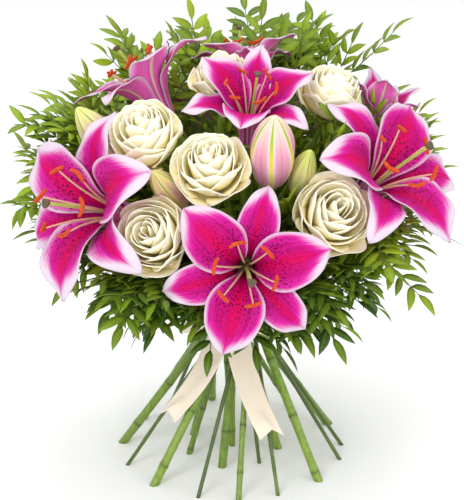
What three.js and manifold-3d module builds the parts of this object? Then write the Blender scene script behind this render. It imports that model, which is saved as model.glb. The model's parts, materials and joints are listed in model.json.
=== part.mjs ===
// A hand-tied spiral bouquet: white roses, pink lilies and lily buds among sprays of pinnate leaves, tied at
// the waist with a cream ribbon and standing on its own cut stems. Millimetres, +Z up. The origin is the
// middle of the straight centre stem's cut end, and -Y is the front.
import * as THREE from "three";
import { mergeVertices } from "three/addons/utils/BufferGeometryUtils.js";
import Module from "manifold-3d";

const wasm = await Module();
wasm.setup();

// Driving dimensions, mm and degrees
const WAIST_Z = 165; // height of the tie above the cut ends
const CURVE_Z = 196; // the stems run straight up to here, then bend to their blooms
const STEM_RADIUS = { rose: 3, lily: 4.5, green: 2, centre: 3.4 };
const STEM_SIDES = { rose: 6, lily: 6, green: 5, centre: 6 };
const RING_LEAN = { centre: 0, inner: 16, outer: 34.5 }; // how far a ring's straight stems lean
const RING_GAP = { inner: 0.2, outer: 0.3 }; // between neighbouring stems at the waist
const FIRST_AZIMUTH = { inner: -98, outer: -88 };
const SEAT_GAP = 0.3; // between a bloom and the stem that carries it
const CLEARANCE = 0.5; // least gap kept between a petal or leaf and its neighbours
const PETAL_THICKNESS = 1;
const LEAF_THICKNESS = 0.9;

// Stems in the order that they stand round each ring, anticlockwise seen from above.
const CENTRE_RING = ["rose_top_left"];
const INNER_RING = [
  "rose_middle",
  "lily_top",
  "rose_top_right",
  "lily_back_top",
  "green_back_left",
  "lily_back_left",
  "rose_left",
];
const OUTER_RING = [
  "lily_front",
  "green_front_right",
  "rose_right",
  "lily_right",
  "green_right",
  "lily_half_open",
  "green_back_right",
  "rose_back",
  "green_back",
  "lily_back",
  "green_left_high",
  "green_left",
  "lily_left",
  "rose_front_left",
  "green_front_left",
];

// Where each bloom sits on its stem, which way it faces (azimuth, tilt from upright) and how it is turned.
const ROSES = {
  rose_left: { base: [-72, -72, 340], azimuth: -116, tilt: 44, turn: 0, size: 1 },
  rose_middle: { base: [-18, -98, 322], azimuth: -94, tilt: 48, turn: 40, size: 0.95 },
  rose_front_left: { base: [-62, -110, 268], azimuth: -110, tilt: 66, turn: 80, size: 1 },
  rose_right: { base: [84, -100, 282], azimuth: -73, tilt: 60, turn: 20, size: 1.05 },
  rose_top_right: { base: [88, -10, 358], azimuth: -35, tilt: 18, turn: 60, size: 0.9 },
  rose_top_left: { base: [-10, -2, 372], azimuth: -75, tilt: 12, turn: 100, size: 0.85 },
  rose_back: { base: [62, 92, 318], azimuth: 55, tilt: 52, turn: 10, size: 1 },
};
const LILIES = {
  lily_front: { base: [13, -112, 244], azimuth: -91, tilt: 75, turn: -15, open: 112, size: 1.12 },
  lily_left: { base: [-87, -64, 273], azimuth: -139, tilt: 68, turn: 5, open: 104, size: 1.28 },
  lily_right: { base: [112, -54, 284], azimuth: -45, tilt: 48, turn: 10, open: 100, size: 1.22 },
  lily_top: { base: [15, -32, 335], azimuth: -85, tilt: 24, turn: -14, open: 74, size: 0.96 },
  lily_back_top: { base: [16, 34, 356], azimuth: 100, tilt: 16, turn: 0, open: 66, size: 0.85 },
  lily_back_left: { base: [-56, 8, 340], azimuth: 165, tilt: 34, turn: 20, open: 82, size: 1.05 },
  lily_back: { base: [-30, 92, 290], azimuth: 106, tilt: 62, turn: 10, open: 95, size: 1.05 },
};
const HALF_OPEN = {
  lily_half_open: { base: [130, 22, 318], azimuth: 12, tilt: 22, turn: 0, open: 30, size: 0.75, reflex: 24 },
};
const BUDS = {
  bud_middle: { base: [35, -86, 312], azimuth: -86, tilt: 28, length: 88, radius: 21, on: "lily_top" },
  bud_left: { base: [-45, -84, 289], azimuth: -124, tilt: 44, length: 68, radius: 13, on: "lily_left" },
  bud_right: { base: [59, -77, 302], azimuth: -70, tilt: 34, length: 62, radius: 12, on: "lily_front" },
  bud_top_left: { base: [-102, -32, 314], azimuth: -168, tilt: 36, length: 76, radius: 16.5, on: "lily_back_left" },
};

const COLOURS = {
  rose: { color: 0xf3ead2, roughness: 0.75 },
  lily: { color: 0xe0409c, roughness: 0.6 },
  stamens: { color: 0xd9682a, roughness: 0.7 },
  bud: { color: 0xe9b9b4, roughness: 0.6 },
  stem: { color: 0x6f9a3c, roughness: 0.55 },
  green: { color: 0x4f7d2a, roughness: 0.55 },
  ribbon: { color: 0xf2e2cc, roughness: 0.5 },
};

const radians = (degrees) => (degrees * Math.PI) / 180;
const vec = (x, y, z) => new THREE.Vector3(x, y, z);
const lerp = (a, b, t) => a + (b - a) * t;
const smooth = (t) => {
  const s = Math.min(1, Math.max(0, t));
  return s * s * (3 - 2 * s);
};

// The matrix that stands a part built along +Z on its base, facing its azimuth and tilt.
function standing({ base, azimuth, tilt, turn = 0 }, size = 1) {
  return new THREE.Matrix4()
    .makeTranslation(...base)
    .multiply(new THREE.Matrix4().makeRotationZ(radians(azimuth)))
    .multiply(new THREE.Matrix4().makeRotationY(radians(tilt)))
    .multiply(new THREE.Matrix4().makeRotationZ(radians(turn)))
    .scale(vec(size, size, size)).elements;
}

function facing({ azimuth, tilt }) {
  const flat = Math.sin(radians(tilt));
  return vec(
    flat * Math.cos(radians(azimuth)),
    flat * Math.sin(radians(azimuth)),
    Math.cos(radians(tilt)),
  );
}

function solidOf(geometry) {
  const bare = new THREE.BufferGeometry().setAttribute(
    "position",
    geometry.getAttribute("position"),
  );
  if (geometry.index) bare.setIndex(geometry.index);
  const merged = mergeVertices(bare, 1e-4);
  return new wasm.Manifold(
    new wasm.Mesh({
      numProp: 3,
      vertProperties: new Float32Array(merged.attributes.position.array),
      triVerts: new Uint32Array(merged.index.array),
    }),
  );
}

// Gives an open sheet of points and triangles a thickness, with the same triangles on both faces.
function sheetSolid(points, triangles, thickness) {
  const normals = points.map(() => vec(0, 0, 0));
  const edges = new Map();
  for (const [a, b, c] of triangles) {
    const n = points[b].clone().sub(points[a]).cross(points[c].clone().sub(points[a]));
    for (const i of [a, b, c]) normals[i].add(n);
    for (const [i, j] of [
      [a, b],
      [b, c],
      [c, a],
    ]) {
      const twin = `${j},${i}`;
      if (edges.has(twin)) edges.delete(twin);
      else edges.set(`${i},${j}`, [i, j]);
    }
  }
  const n = points.length;
  const places = [];
  for (const side of [0.5, -0.5])
    points.forEach((p, i) => {
      const q = p.clone().addScaledVector(normals[i].clone().normalize(), side * thickness);
      places.push(q.x, q.y, q.z);
    });
  const faces = [];
  for (const [a, b, c] of triangles) faces.push(a, b, c, a + n, c + n, b + n);
  for (const [i, j] of edges.values()) faces.push(i, i + n, j, j, i + n, j + n);
  const geometry = new THREE.BufferGeometry()
    .setAttribute("position", new THREE.Float32BufferAttribute(places, 3))
    .setIndex(faces);
  return solidOf(geometry);
}

// A sheet from rows of points, each row joined to the next; a row of one point closes the sheet to a tip.
function rowsSheet(rows, thickness) {
  const points = rows.flat();
  const triangles = [];
  let start = 0;
  for (let k = 0; k + 1 < rows.length; k += 1) {
    const next = start + rows[k].length;
    const count = rows[k].length;
    for (let i = 0; i + 1 < count; i += 1) {
      if (rows[k + 1].length === 1) triangles.push([start + i, start + i + 1, next]);
      else {
        triangles.push([start + i, start + i + 1, next + i + 1]);
        triangles.push([start + i, next + i + 1, next + i]);
      }
    }
    start = next;
  }
  return sheetSolid(points, triangles, thickness);
}

// A tube of even radius along a curve, as a swept polygon.
function tube(curve, steps, radius, sides) {
  const section = new THREE.Shape();
  for (let i = 0; i < sides; i += 1) {
    const a = (2 * Math.PI * i) / sides;
    const [x, y] = [radius * Math.cos(a), radius * Math.sin(a)];
    if (i === 0) section.moveTo(x, y);
    else section.lineTo(x, y);
  }
  section.closePath();
  return solidOf(
    new THREE.ExtrudeGeometry(section, { steps, bevelEnabled: false, extrudePath: curve }),
  );
}

function lathe(profile, segments) {
  return solidOf(
    new THREE.LatheGeometry(
      profile.map(([r, z]) => new THREE.Vector2(r, z)),
      segments,
    ).rotateX(Math.PI / 2),
  );
}

// A stem's route: straight from below the floor to where it bends, then one curve to its end.
class StemRoute extends THREE.Curve {
  constructor(foot, bend, curve, curveSteps) {
    super();
    Object.assign(this, { foot, bend, curve, straightShare: 1 / (curveSteps + 1) });
  }
  getPoint(t) {
    if (t <= this.straightShare)
      return this.foot.clone().lerp(this.bend, t / this.straightShare);
    return this.curve.getPoint((t - this.straightShare) / (1 - this.straightShare));
  }
  getPointAt(t) {
    return this.getPoint(t);
  }
  getTangentAt(t) {
    if (t <= this.straightShare) return this.bend.clone().sub(this.foot).normalize();
    return this.curve.getTangent((t - this.straightShare) / (1 - this.straightShare));
  }
}

const kindOf = (name) => (name === CENTRE_RING[0] ? "centre" : name.split("_")[0]);

// The straight line of each stem, as its point at the waist and its direction, for a whole ring. The ring is
// as small as lets its stems stand side by side.
function ringLines(names, ring) {
  const lean = radians(RING_LEAN[ring]);
  const widths = names.map((name, i) => {
    const next = names[(i + 1) % names.length];
    const gap = RING_GAP[ring];
    return (STEM_RADIUS[kindOf(name)] + STEM_RADIUS[kindOf(next)] + gap) / Math.cos(lean);
  });
  const turnsFor = (radius) => widths.map((width) => 2 * Math.asin(width / (2 * radius)));
  let radius = widths.reduce((a, b) => a + b) / (2 * Math.PI);
  while (turnsFor(radius).reduce((a, b) => a + b) > 2 * Math.PI) radius += 0.01;
  const turns = turnsFor(radius);
  let azimuth = radians(FIRST_AZIMUTH[ring]);
  return names.map((name, i) => {
    const head = vec(Math.cos(azimuth), Math.sin(azimuth), 0);
    const side = vec(head.y, -head.x, 0);
    azimuth += turns[i];
    return {
      name,
      waist: side.multiplyScalar(radius).setZ(WAIST_Z),
      direction: head.multiplyScalar(Math.sin(lean)).setZ(Math.cos(lean)),
      radius,
    };
  });
}

const LINES = Object.fromEntries(
  [
    { name: CENTRE_RING[0], waist: vec(0, 0, WAIST_Z), direction: vec(0, 0, 1), radius: 0 },
    ...ringLines(INNER_RING, "inner"),
    ...ringLines(OUTER_RING, "outer"),
  ].map((line) => [line.name, line]),
);
const OUTER_RADIUS = LINES[OUTER_RING[0]].radius;

function onLine({ waist, direction }, z) {
  return waist.clone().addScaledVector(direction, (z - waist.z) / direction.z);
}

// The whole route of the stem with this name, ending at a point in a direction.
function stemRoute(name, end, endDirection, curveSteps, handles = [60, 50]) {
  const line = LINES[name];
  const bend = onLine(line, CURVE_Z);
  const curve = new THREE.CubicBezierCurve3(
    bend,
    bend.clone().addScaledVector(line.direction, handles[0]),
    end.clone().addScaledVector(endDirection, -handles[1]),
    end,
  );
  return new StemRoute(onLine(line, -10), bend, curve, curveSteps);
}

const cutLevel = (solid) => solid.trimByPlane([0, 0, 1], 0);

function stemSolid(name, head, below = SEAT_GAP, curveSteps = 3) {
  const direction = facing(head);
  const end = vec(...head.base).addScaledVector(direction, -below);
  const route = stemRoute(name, end, direction, curveSteps);
  const kind = kindOf(name);
  const solid = tube(route, curveSteps + 1, STEM_RADIUS[kind], STEM_SIDES[kind]);
  return { route, solid: cutLevel(solid) };
}

// Rose
const ROSE_LAYERS = [
  { petals: 5, root: [10.2, 4.6], belly: [33, 9], rim: [33, 38], curl: 5, spread: [24, 44], turn: 0 },
  { petals: 3, root: [7.8, 4], belly: [27, 16], rim: [23, 49], curl: 2.5, spread: [44, 70], turn: 30 },
  { petals: 3, root: [5.4, 4], belly: [15, 22], rim: [12.5, 55], curl: 0, spread: [44, 70], turn: 85 },
];
const ROSE_TUCK = 2.5; // how far one edge of a petal lies inside its neighbour
const ROSE_HEART = [
  [0, 0],
  [8, 0],
  [15, 6],
  [3.4, 6],
  [4.6, 46],
  [0, 52],
];

// A point on a rose petal: u runs from its root to its rim, v from one side to the other.
function rosePetalPoint(layer, around, u, v) {
  const [r, z] = [0, 1].map(
    (i) =>
      (1 - u) * (1 - u) * layer.root[i] + 2 * u * (1 - u) * layer.belly[i] + u * u * layer.rim[i],
  );
  const angle = radians(around + lerp(...layer.spread, smooth(2 * u)) * v);
  const tuck = ROSE_TUCK * v * smooth(2 * u);
  const lean = radians(60) * (1 - u);
  const radius = r + tuck * Math.cos(lean);
  const height = z * (1 - 0.16 * v * v * u) - tuck * Math.sin(lean);
  return vec(radius * Math.cos(angle), radius * Math.sin(angle), height);
}

function rosePetal(layer, around) {
  const rows = [0, 0.55].map((u) => [1, 0, -1].map((v) => rosePetalPoint(layer, around, u, v)));
  const rim = [0.8, 0, -0.8].map((v) => {
    const p = rosePetalPoint(layer, around, 1, v);
    const out = 1 + layer.curl / Math.hypot(p.x, p.y);
    return vec(p.x * out, p.y * out, p.z);
  });
  return rowsSheet([...rows, rim], PETAL_THICKNESS);
}

function roseBloom() {
  const parts = [lathe(ROSE_HEART, 6)];
  for (const layer of ROSE_LAYERS)
    for (let k = 0; k < layer.petals; k += 1)
      parts.push(rosePetal(layer, layer.turn + (360 * k) / layer.petals));
  return wasm.Manifold.union(parts);
}

// The green hip under a rose with its five turned-back sepals, along +Z up to the bloom.
function roseCalyx(stemRadius) {
  const hip = lathe(
    [
      [0, -16],
      [stemRadius * 0.9, -16],
      [7.6, -SEAT_GAP],
      [0, -SEAT_GAP],
    ],
    5,
  );
  const parts = [hip];
  for (let k = 0; k < 5; k += 1) {
    const a = radians(72 * k + 36);
    const at = (r, z, side) =>
      vec(r * Math.cos(a) - side * Math.sin(a), r * Math.sin(a) + side * Math.cos(a), z);
    parts.push(rowsSheet([[at(4.4, -3, 2.6), at(4.4, -3, -2.6)], [at(25, -9, 0)]], LEAF_THICKNESS));
  }
  return wasm.Manifold.union(parts);
}

// Lily
const TEPAL_LENGTH = 104;
const TEPAL_HALF_WIDTH = { inner: 25, outer: 17.5 };
const TEPAL_ROOT = { inner: 4.6, outer: 6.8 }; // how far from the flower's axis each whorl starts
const TEPAL_WRAP = { inner: 44, outer: 42 }; // half the angle round the axis that a root takes
const TEPAL_STATIONS = [0, 0.28, 0.55, 0.8, 1];
const TEPAL_REFLEX = 17; // how much further the outer whorl turns back
const TEPAL_BENDS = {
  inner: [0, -8, -16, -24, -32, -40, -48, -56, 8, 16, 24],
  outer: [0, 8, 16, 24, 32, 40, -8, -16, -24, -32, -40],
};
const TEPAL_ROOT_SHARED = 0.3; // mm3 that two tepals may share at their roots
const RECEPTACLE_TOP = 7;
const WIDEST = 0.55; // where along its length a tepal is widest

// The tepal's midline in the plane of the flower's axis: distance out, height and slope angle at u.
function tepalSpine(u, length, open) {
  const steps = 40;
  let [r, z] = [0, 0];
  const slope = (s) => radians(lerp(9, open, smooth((s - 0.12) / 0.88)));
  for (let i = 0; i < steps * u - 1e-9; i += 1) {
    const ds = Math.min(1, steps * u - i) / steps;
    const a = slope(i / steps + ds / 2);
    r += length * ds * Math.sin(a);
    z += length * ds * Math.cos(a);
  }
  return { r, z, angle: slope(u) };
}

function tepalHalfWidth(u, widest) {
  if (u < WIDEST) return widest * lerp(0.25, 1, smooth(u / WIDEST));
  return widest * Math.cos(((u - WIDEST) / (1 - WIDEST)) * (Math.PI / 2)) ** 0.75;
}

// A point on a tepal: v runs across it. It wraps round the throat and flattens on its way out, and its edges
// stand up from the midrib.
function tepalPoint(whorl, around, open, length, u, v) {
  const spine = tepalSpine(u, length, open);
  const half = tepalHalfWidth(u, TEPAL_HALF_WIDTH[whorl]);
  const lift = 0.3 * half * v * v * (1 - 0.6 * u) * smooth(2 * u - 0.3);
  const r = TEPAL_ROOT[whorl] + spine.r - lift * Math.cos(spine.angle);
  const z = 3 + spine.z + lift * Math.sin(spine.angle);
  const flat = smooth((u - 0.2) / 0.6);
  const wrap = Math.min(radians(TEPAL_WRAP[whorl]), half / r) * v;
  const out = lerp(r * Math.cos(wrap), r, flat);
  const side = lerp(r * Math.sin(wrap), half * v, flat);
  const a = radians(around);
  return vec(
    out * Math.cos(a) - side * Math.sin(a),
    out * Math.sin(a) + side * Math.cos(a),
    z,
  );
}

function tepal(whorl, around, open, length) {
  const rows = TEPAL_STATIONS.map((u) =>
    (u < 1 ? [1, 0, -1] : [0]).map((v) => tepalPoint(whorl, around, open, length, u, v)),
  );
  return rowsSheet(rows, PETAL_THICKNESS);
}

const receptacle = () =>
  lathe(
    [
      [0, 0],
      [4.3, 0],
      [10, 3],
      [10, RECEPTACLE_TOP],
      [0, RECEPTACLE_TOP],
    ],
    6,
  );

// Six tepals, each bent as little as keeps it clear of what already stands round the flower.
function lilyBloom(place, isClear) {
  const { open, size = 0.95, reflex = TEPAL_REFLEX } = place;
  const matrix = standing(place, size);
  const parts = [];
  const isApart = (solid) => parts.every((other) => solid.intersect(other).volume() < TEPAL_ROOT_SHARED);
  for (let k = 0; k < 6; k += 1) {
    const whorl = k % 2 ? "outer" : "inner";
    const opening = open + (whorl === "outer" ? reflex : 0);
    const tries = TEPAL_BENDS[whorl].map(
      (bend) => () => tepal(whorl, 60 * k, opening + bend, TEPAL_LENGTH).transform(matrix),
    );
    const fits = firstClear(tries, (solid) => isApart(solid) && isClear(solid));
    parts.push(fits ?? firstClear(tries, isClear) ?? tries[0]());
  }
  parts.push(receptacle().transform(matrix));
  return wasm.Manifold.union(parts);
}

// Six filaments with their anthers round a longer pistil.
function lilyStamens() {
  const foot = RECEPTACLE_TOP + 0.45;
  const line = (a, b, c) =>
    new THREE.QuadraticBezierCurve3(vec(...a), vec(...b), vec(...c));
  const parts = [
    lathe(
      [
        [0, foot],
        [3.2, foot],
        [3.2, foot + 3],
        [0, foot + 3],
      ],
      5,
    ),
    tube(line([0, 0, foot + 1], [0, 2, 50], [3, 6, 92]), 2, 1.3, 3),
    lathe(
      [
        [0, -3],
        [4, 0],
        [0, 3],
      ],
      3,
    ).translate([3, 6, 92]),
  ];
  for (let k = 0; k < 6; k += 1) {
    const a = radians(60 * k + 30);
    const [x, y] = [Math.cos(a), Math.sin(a)];
    const tip = [25 * x, 25 * y, 75];
    parts.push(tube(line([2.2 * x, 2.2 * y, foot + 1], [6 * x, 6 * y, 48], tip), 2, 0.8, 3));
    const anther = new THREE.OctahedronGeometry(1).scale(2, 9, 2).rotateX(0.35);
    anther.rotateZ(a).translate(...tip);
    parts.push(solidOf(anther));
  }
  return wasm.Manifold.union(parts);
}

// A closed bud: six tepals pressed together, three of them with raised ribs.
function lilyBud({ length, radius }) {
  const shape = [
    [0.3, 0],
    [0.7, 0.17],
    [1, 0.48],
    [0.8, 0.76],
    [0.26, 0.97],
  ];
  const profile = [[0, 0], ...shape, [0, 1]].map(([r, t]) => [r * radius, t * length]);
  const geometry = new THREE.LatheGeometry(
    profile.map(([r, z]) => new THREE.Vector2(r, z)),
    12,
  ).rotateX(Math.PI / 2);
  const places = geometry.getAttribute("position");
  for (let i = 0; i < places.count; i += 1) {
    const [x, y] = [places.getX(i), places.getY(i)];
    const ridge = 1 + 0.045 * Math.cos(6 * Math.atan2(y, x));
    places.setXYZ(i, x * ridge, y * ridge, places.getZ(i));
  }
  return solidOf(geometry);
}

const BUD_NECK = { from: 0.45, radius: 2.6 };

// The stalk that carries a bud, from partway up its lily's stem.
function budNeck(route, bud) {
  const direction = facing(bud);
  const end = vec(...bud.base).addScaledVector(direction, -SEAT_GAP);
  const start = route.getPoint(BUD_NECK.from);
  const neck = new THREE.CubicBezierCurve3(
    start,
    start.clone().addScaledVector(route.getTangentAt(BUD_NECK.from), 25),
    end.clone().addScaledVector(direction, -30),
    end,
  );
  return tube(neck, 4, BUD_NECK.radius, 5);
}

// Ribbon
const BAND = { halfHeight: 12, thickness: 1.3, clearance: 0.45, facets: 12 };
const RIBBON_THICKNESS = 0.8;
const KNOT_AZIMUTH = -96;
const KNOT_RADIUS = 6.5;
// A loop's route out from the knot and back: along the band, away from the band, and its half width there.
const LOOP = [
  [-2, 3, 4],
  [20, 9, 10],
  [42, 8, 13],
  [46, 1, 13],
  [26, -3, 11],
  [-2, 0, 4],
];
const LOOP_SAG = 0.22;
const TAILS = [
  { azimuths: [-104, -140], bottom: 58, halfWidth: 13 },
  { azimuths: [-86, -64], bottom: 50, halfWidth: 13 },
];
const TAIL_NOTCH = 9;

// How far out the straight outer stems reach at a height.
function stemsReach(z) {
  const lean = Math.tan(radians(RING_LEAN.outer));
  return Math.hypot(OUTER_RADIUS, (z - WAIST_Z) * lean) + STEM_RADIUS.lily;
}

function ribbonBand() {
  const flat = Math.cos(Math.PI / BAND.facets);
  const inside = [-1, 0, 1].map((k) => {
    const z = WAIST_Z + k * BAND.halfHeight;
    return [(stemsReach(z) + BAND.clearance) / flat, z];
  });
  const outside = inside.map(([r, z]) => [r + BAND.thickness, z]);
  return lathe([inside[0], ...outside, inside[2], inside[1], inside[0]], BAND.facets);
}

// A point beside the tie: along it from this azimuth, out from the axis, and up.
function besideTie(azimuth, along, out, z) {
  const a = radians(azimuth);
  return vec(
    out * Math.cos(a) - along * Math.sin(a),
    out * Math.sin(a) + along * Math.cos(a),
    z,
  );
}

function ribbonBow() {
  const flat = Math.cos(Math.PI / BAND.facets);
  const face = (stemsReach(WAIST_Z + KNOT_RADIUS) + BAND.clearance) / flat + BAND.thickness;
  const out = face + SEAT_GAP + KNOT_RADIUS * Math.cos(Math.PI / 6);
  const knot = lathe(
    [
      [0, -8],
      [KNOT_RADIUS * 0.7, -8],
      [KNOT_RADIUS, 0],
      [KNOT_RADIUS * 0.7, 8],
      [0, 8],
    ],
    6,
  )
    .rotate([0, 90, 0])
    .rotate([0, 0, KNOT_AZIMUTH + 90])
    .translate(besideTie(KNOT_AZIMUTH, 0, out, WAIST_Z).toArray());
  const loops = [-1, 1].map((side) =>
    rowsSheet(
      LOOP.map(([along, away, half]) =>
        [-side, side].map((v) =>
          besideTie(KNOT_AZIMUTH, side * along, out + away, WAIST_Z - LOOP_SAG * along + v * half),
        ),
      ),
      RIBBON_THICKNESS,
    ),
  );
  return wasm.Manifold.union([knot, ...loops, ...TAILS.map(ribbonTail)]);
}

// A tail lies down along the splayed stems and ends in a swallowtail.
function ribbonTail({ azimuths, bottom, halfWidth }) {
  const top = WAIST_Z - 2;
  const rows = [0, 0.2, 0.5, 0.75, 1].map((s, i, { length }) => {
    const azimuth = lerp(...azimuths, s);
    const z = lerp(top, bottom, s);
    const wave = 1.2 * Math.sin(9 * s) * s;
    const reach = Math.max(stemsReach(z) + 3.2 + wave, stemsReach(WAIST_Z) + 8 - 20 * s);
    const half = halfWidth * lerp(0.35, 1, smooth(3 * s));
    return [-1, 0, 1].map((v) => {
      const cut = i === length - 1 && v === 0 ? TAIL_NOTCH : 0;
      return besideTie(azimuth, v * half, reach, z + cut);
    });
  });
  return rowsSheet(rows, RIBBON_THICKNESS);
}

// Greenery: a spray is one thin arched blade, cut to a slim rib with pairs of leaflets and one at its tip.
const RIB_HALF_WIDTH = 1.2;
const LEAFLET = { length: 25, halfWidth: 4.6, widest: 0.48, root: 1.5, spread: 52, droop: 2 };
const LEAFLET_STEP = 13; // from one pair to the next along the rib
const LEAFLET_ROLLS = [0, 24, -24, 48, -48, 75, -75];
const LEAF_GAP = 0.2; // between the leaflets of one stem
const SPRAY_SHIFTS = [
  [0, 0],
  [6, 0],
  [-6, 0],
  [0, 12],
  [0, -12],
  [7, 10],
  [-7, 10],
  [7, -10],
  [-7, -10],
  [13, 0],
  [-13, 0],
  [0, 24],
  [0, -24],
]; // degrees round and mm up, in the order that they are tried
const LEAFLET_PAIRS = 3;
const SPRAY_SPACING = 7; // between the roots of two sprays on one stem
const SPRAY_ROOT_DEPTH = 4; // from the top of the stem down to its first root
// Each stem's sprays: azimuth, distance out and height of the tip, and how steeply it ends.
const SPRAYS = {
  green_front_left: [
    [-120, 142, 184, -30],
    [-142, 150, 206, -24],
    [-100, 118, 160, -40],
    [-156, 172, 228, -12],
  ],
  green_front_right: [
    [-62, 142, 182, -32],
    [-42, 158, 206, -22],
    [-80, 122, 166, -42],
    [-53, 138, 366, 72],
  ],
  green_right: [
    [-6, 196, 306, 20],
    [-24, 186, 250, -5],
    [8, 186, 352, 45],
    [12, 176, 226, -15],
  ],
  green_back_right: [
    [42, 190, 312, 20],
    [30, 138, 412, 62],
    [54, 164, 236, -10],
    [22, 194, 276, 5],
  ],
  green_back: [
    [88, 188, 304, 20],
    [68, 176, 342, 40],
    [78, 98, 432, 68],
    [96, 158, 232, -12],
  ],
  green_back_left: [
    [128, 190, 312, 20],
    [116, 92, 434, 70],
    [142, 166, 240, -10],
    [110, 186, 276, 5],
  ],
  green_left_high: [
    [158, 134, 414, 58],
    [148, 178, 352, 38],
    [177, 176, 364, 42],
  ],
  green_left: [
    [174, 196, 306, 20],
    [-168, 190, 278, 5],
    [162, 174, 236, -10],
    [-174, 164, 218, -18],
  ],
};

// The five points of a leaflet between its two roots on the rib: root, root, belly, belly and tip.
function leafletPoints(roots, along, width, normal) {
  const middle = roots[0].clone().add(roots[1]).multiplyScalar(0.5);
  const at = (l, w, h) =>
    middle
      .clone()
      .addScaledVector(along, l * LEAFLET.length)
      .addScaledVector(width, w * LEAFLET.halfWidth)
      .addScaledVector(normal, h);
  return [
    ...roots,
    at(LEAFLET.widest, -1, 0.8),
    at(LEAFLET.widest, 1, 0.2),
    at(1, 0, -LEAFLET.droop),
  ];
}

// The triangles of a leaflet, facing up on its hand of the rib, by the places of its five points in a list.
function leafletFaces([rootA, rootB, bellyA, bellyB, tip], hand) {
  const faces = [
    [rootA, bellyA, bellyB],
    [rootA, bellyB, rootB],
    [bellyA, tip, bellyB],
  ];
  return hand > 0 ? faces : faces.map(([a, b, c]) => [a, c, b]);
}

// The middle line of a spray by distance from its tip, with its own directions there.
function ribFrame(curve, length, fromTip) {
  const u = 1 - fromTip / length;
  const forward = curve.getTangentAt(u);
  const p = curve.getPointAt(u);
  const away = vec(p.x, p.y, 0).normalize();
  const side = forward.clone().cross(vec(0, 0, 1).addScaledVector(away, -0.5)).normalize();
  return { p, forward, side, up: side.clone().cross(forward) };
}

const ribPoint = ({ p, side }, hand) => p.clone().addScaledVector(side, hand * RIB_HALF_WIDTH);

// The forms that a leaflet may take on its hand of the rib (1 right, -1 left, 0 at the tip), each rolled
// further round the rib.
function leafletForms(frame, roots, hand) {
  return LEAFLET_ROLLS.map((roll) => {
    const turn = radians(roll * (hand || 1));
    const across = frame.side.clone().applyAxisAngle(frame.forward, turn);
    const normal = frame.up.clone().applyAxisAngle(frame.forward, turn);
    if (hand === 0) return leafletPoints(roots, frame.forward, across, normal);
    const spread = radians(LEAFLET.spread);
    const along = frame.forward
      .clone()
      .multiplyScalar(Math.cos(spread))
      .addScaledVector(across, hand * Math.sin(spread));
    return leafletPoints(roots, along, normal.clone().cross(along).multiplyScalar(hand), normal);
  });
}

function greenStem(name, isClear) {
  const line = LINES[name];
  const top = CURVE_Z + SPRAY_SPACING * SPRAYS[name].length;
  const straight = new THREE.LineCurve3(onLine(line, -10), onLine(line, top));
  const parts = [cutLevel(tube(straight, 1, STEM_RADIUS.green, STEM_SIDES.green))];
  const leaves = [];
  SPRAYS[name].forEach((spray, i) => {
    const start = onLine(line, top - SPRAY_ROOT_DEPTH - SPRAY_SPACING * i);
    const isFree = (solid) => isClear(solid) && isClearOf(leaves, LEAF_GAP)(solid);
    const route = sprayRoutes(start, line.direction, spray).find((curve) => isFree(ribSheet(curve)));
    if (!route) return;
    const made = spraySheet(route, isFree);
    leaves.push(...made.leaves);
    parts.push(made.solid);
  });
  return wasm.Manifold.union(parts);
}

// The curves that a spray may follow from its stem, in the order that they are tried.
function sprayRoutes(start, direction, [azimuth, out, z, rise]) {
  return SPRAY_SHIFTS.map(([turn, lift]) => {
    const tip = besideTie(azimuth + turn, 0, out, z + lift);
    const end = facing({ azimuth: azimuth + turn, tilt: 90 - rise });
    const reach = tip.distanceTo(start);
    return new THREE.CubicBezierCurve3(
      start,
      start.clone().addScaledVector(direction, 0.3 * reach),
      tip.clone().addScaledVector(end, -0.4 * reach),
      tip,
    );
  });
}

const BARE_STEPS = 3;

// A spray's rib on its own.
function ribSheet(curve) {
  const length = curve.getLength();
  const rows = [];
  for (let k = 0; k <= 5; k += 1) {
    const frame = ribFrame(curve, length, length * (1 - k / 5));
    rows.push([ribPoint(frame, -1), ribPoint(frame, 1)]);
  }
  return rowsSheet(rows, LEAF_THICKNESS);
}

function spraySheet(curve, isClear) {
  const length = curve.getLength();
  const points = [];
  const triangles = [];
  const leaves = [];
  const add = (...more) => more.map((p) => points.push(p) - 1);
  let last = null;
  const rib = (fromTip) => {
    const frame = ribFrame(curve, length, fromTip);
    const pair = add(ribPoint(frame, -1), ribPoint(frame, 1));
    if (last) triangles.push([last[0], last[1], pair[1]], [last[0], pair[1], pair[0]]);
    last = pair;
    return pair;
  };
  const leaflet = (frame, roots, hand) => {
    const corners = roots.map((i) => points[i]);
    const form = leafletForms(frame, corners, hand).find((five) => {
      const solid = sheetSolid(five, leafletFaces([0, 1, 2, 3, 4], hand), LEAF_THICKNESS);
      const clear = isClear(solid);
      if (clear) leaves.push(solid);
      return clear;
    });
    if (!form) return;
    const own = add(...form.slice(2));
    triangles.push(...leafletFaces([...roots, ...own], hand));
  };
  const leafy = LEAFLET_STEP * (LEAFLET_PAIRS - 1) + 12;
  for (let k = 0; k < BARE_STEPS; k += 1) rib(lerp(length, leafy, k / BARE_STEPS));
  for (let k = LEAFLET_PAIRS - 1; k >= 0; k -= 1) {
    const middle = LEAFLET_STEP * k + 10;
    const near = rib(middle + LEAFLET.root);
    const far = rib(middle - LEAFLET.root);
    const frame = ribFrame(curve, length, middle);
    leaflet(frame, [near[1], far[1]], 1);
    leaflet(frame, [near[0], far[0]], -1);
  }
  const end = rib(0);
  leaflet(ribFrame(curve, length, 0), [end[0], end[1]], 0);
  return { solid: sheetSolid(points, triangles, LEAF_THICKNESS), leaves };
}

// Placing things clear of each other
const placed = [];

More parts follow.
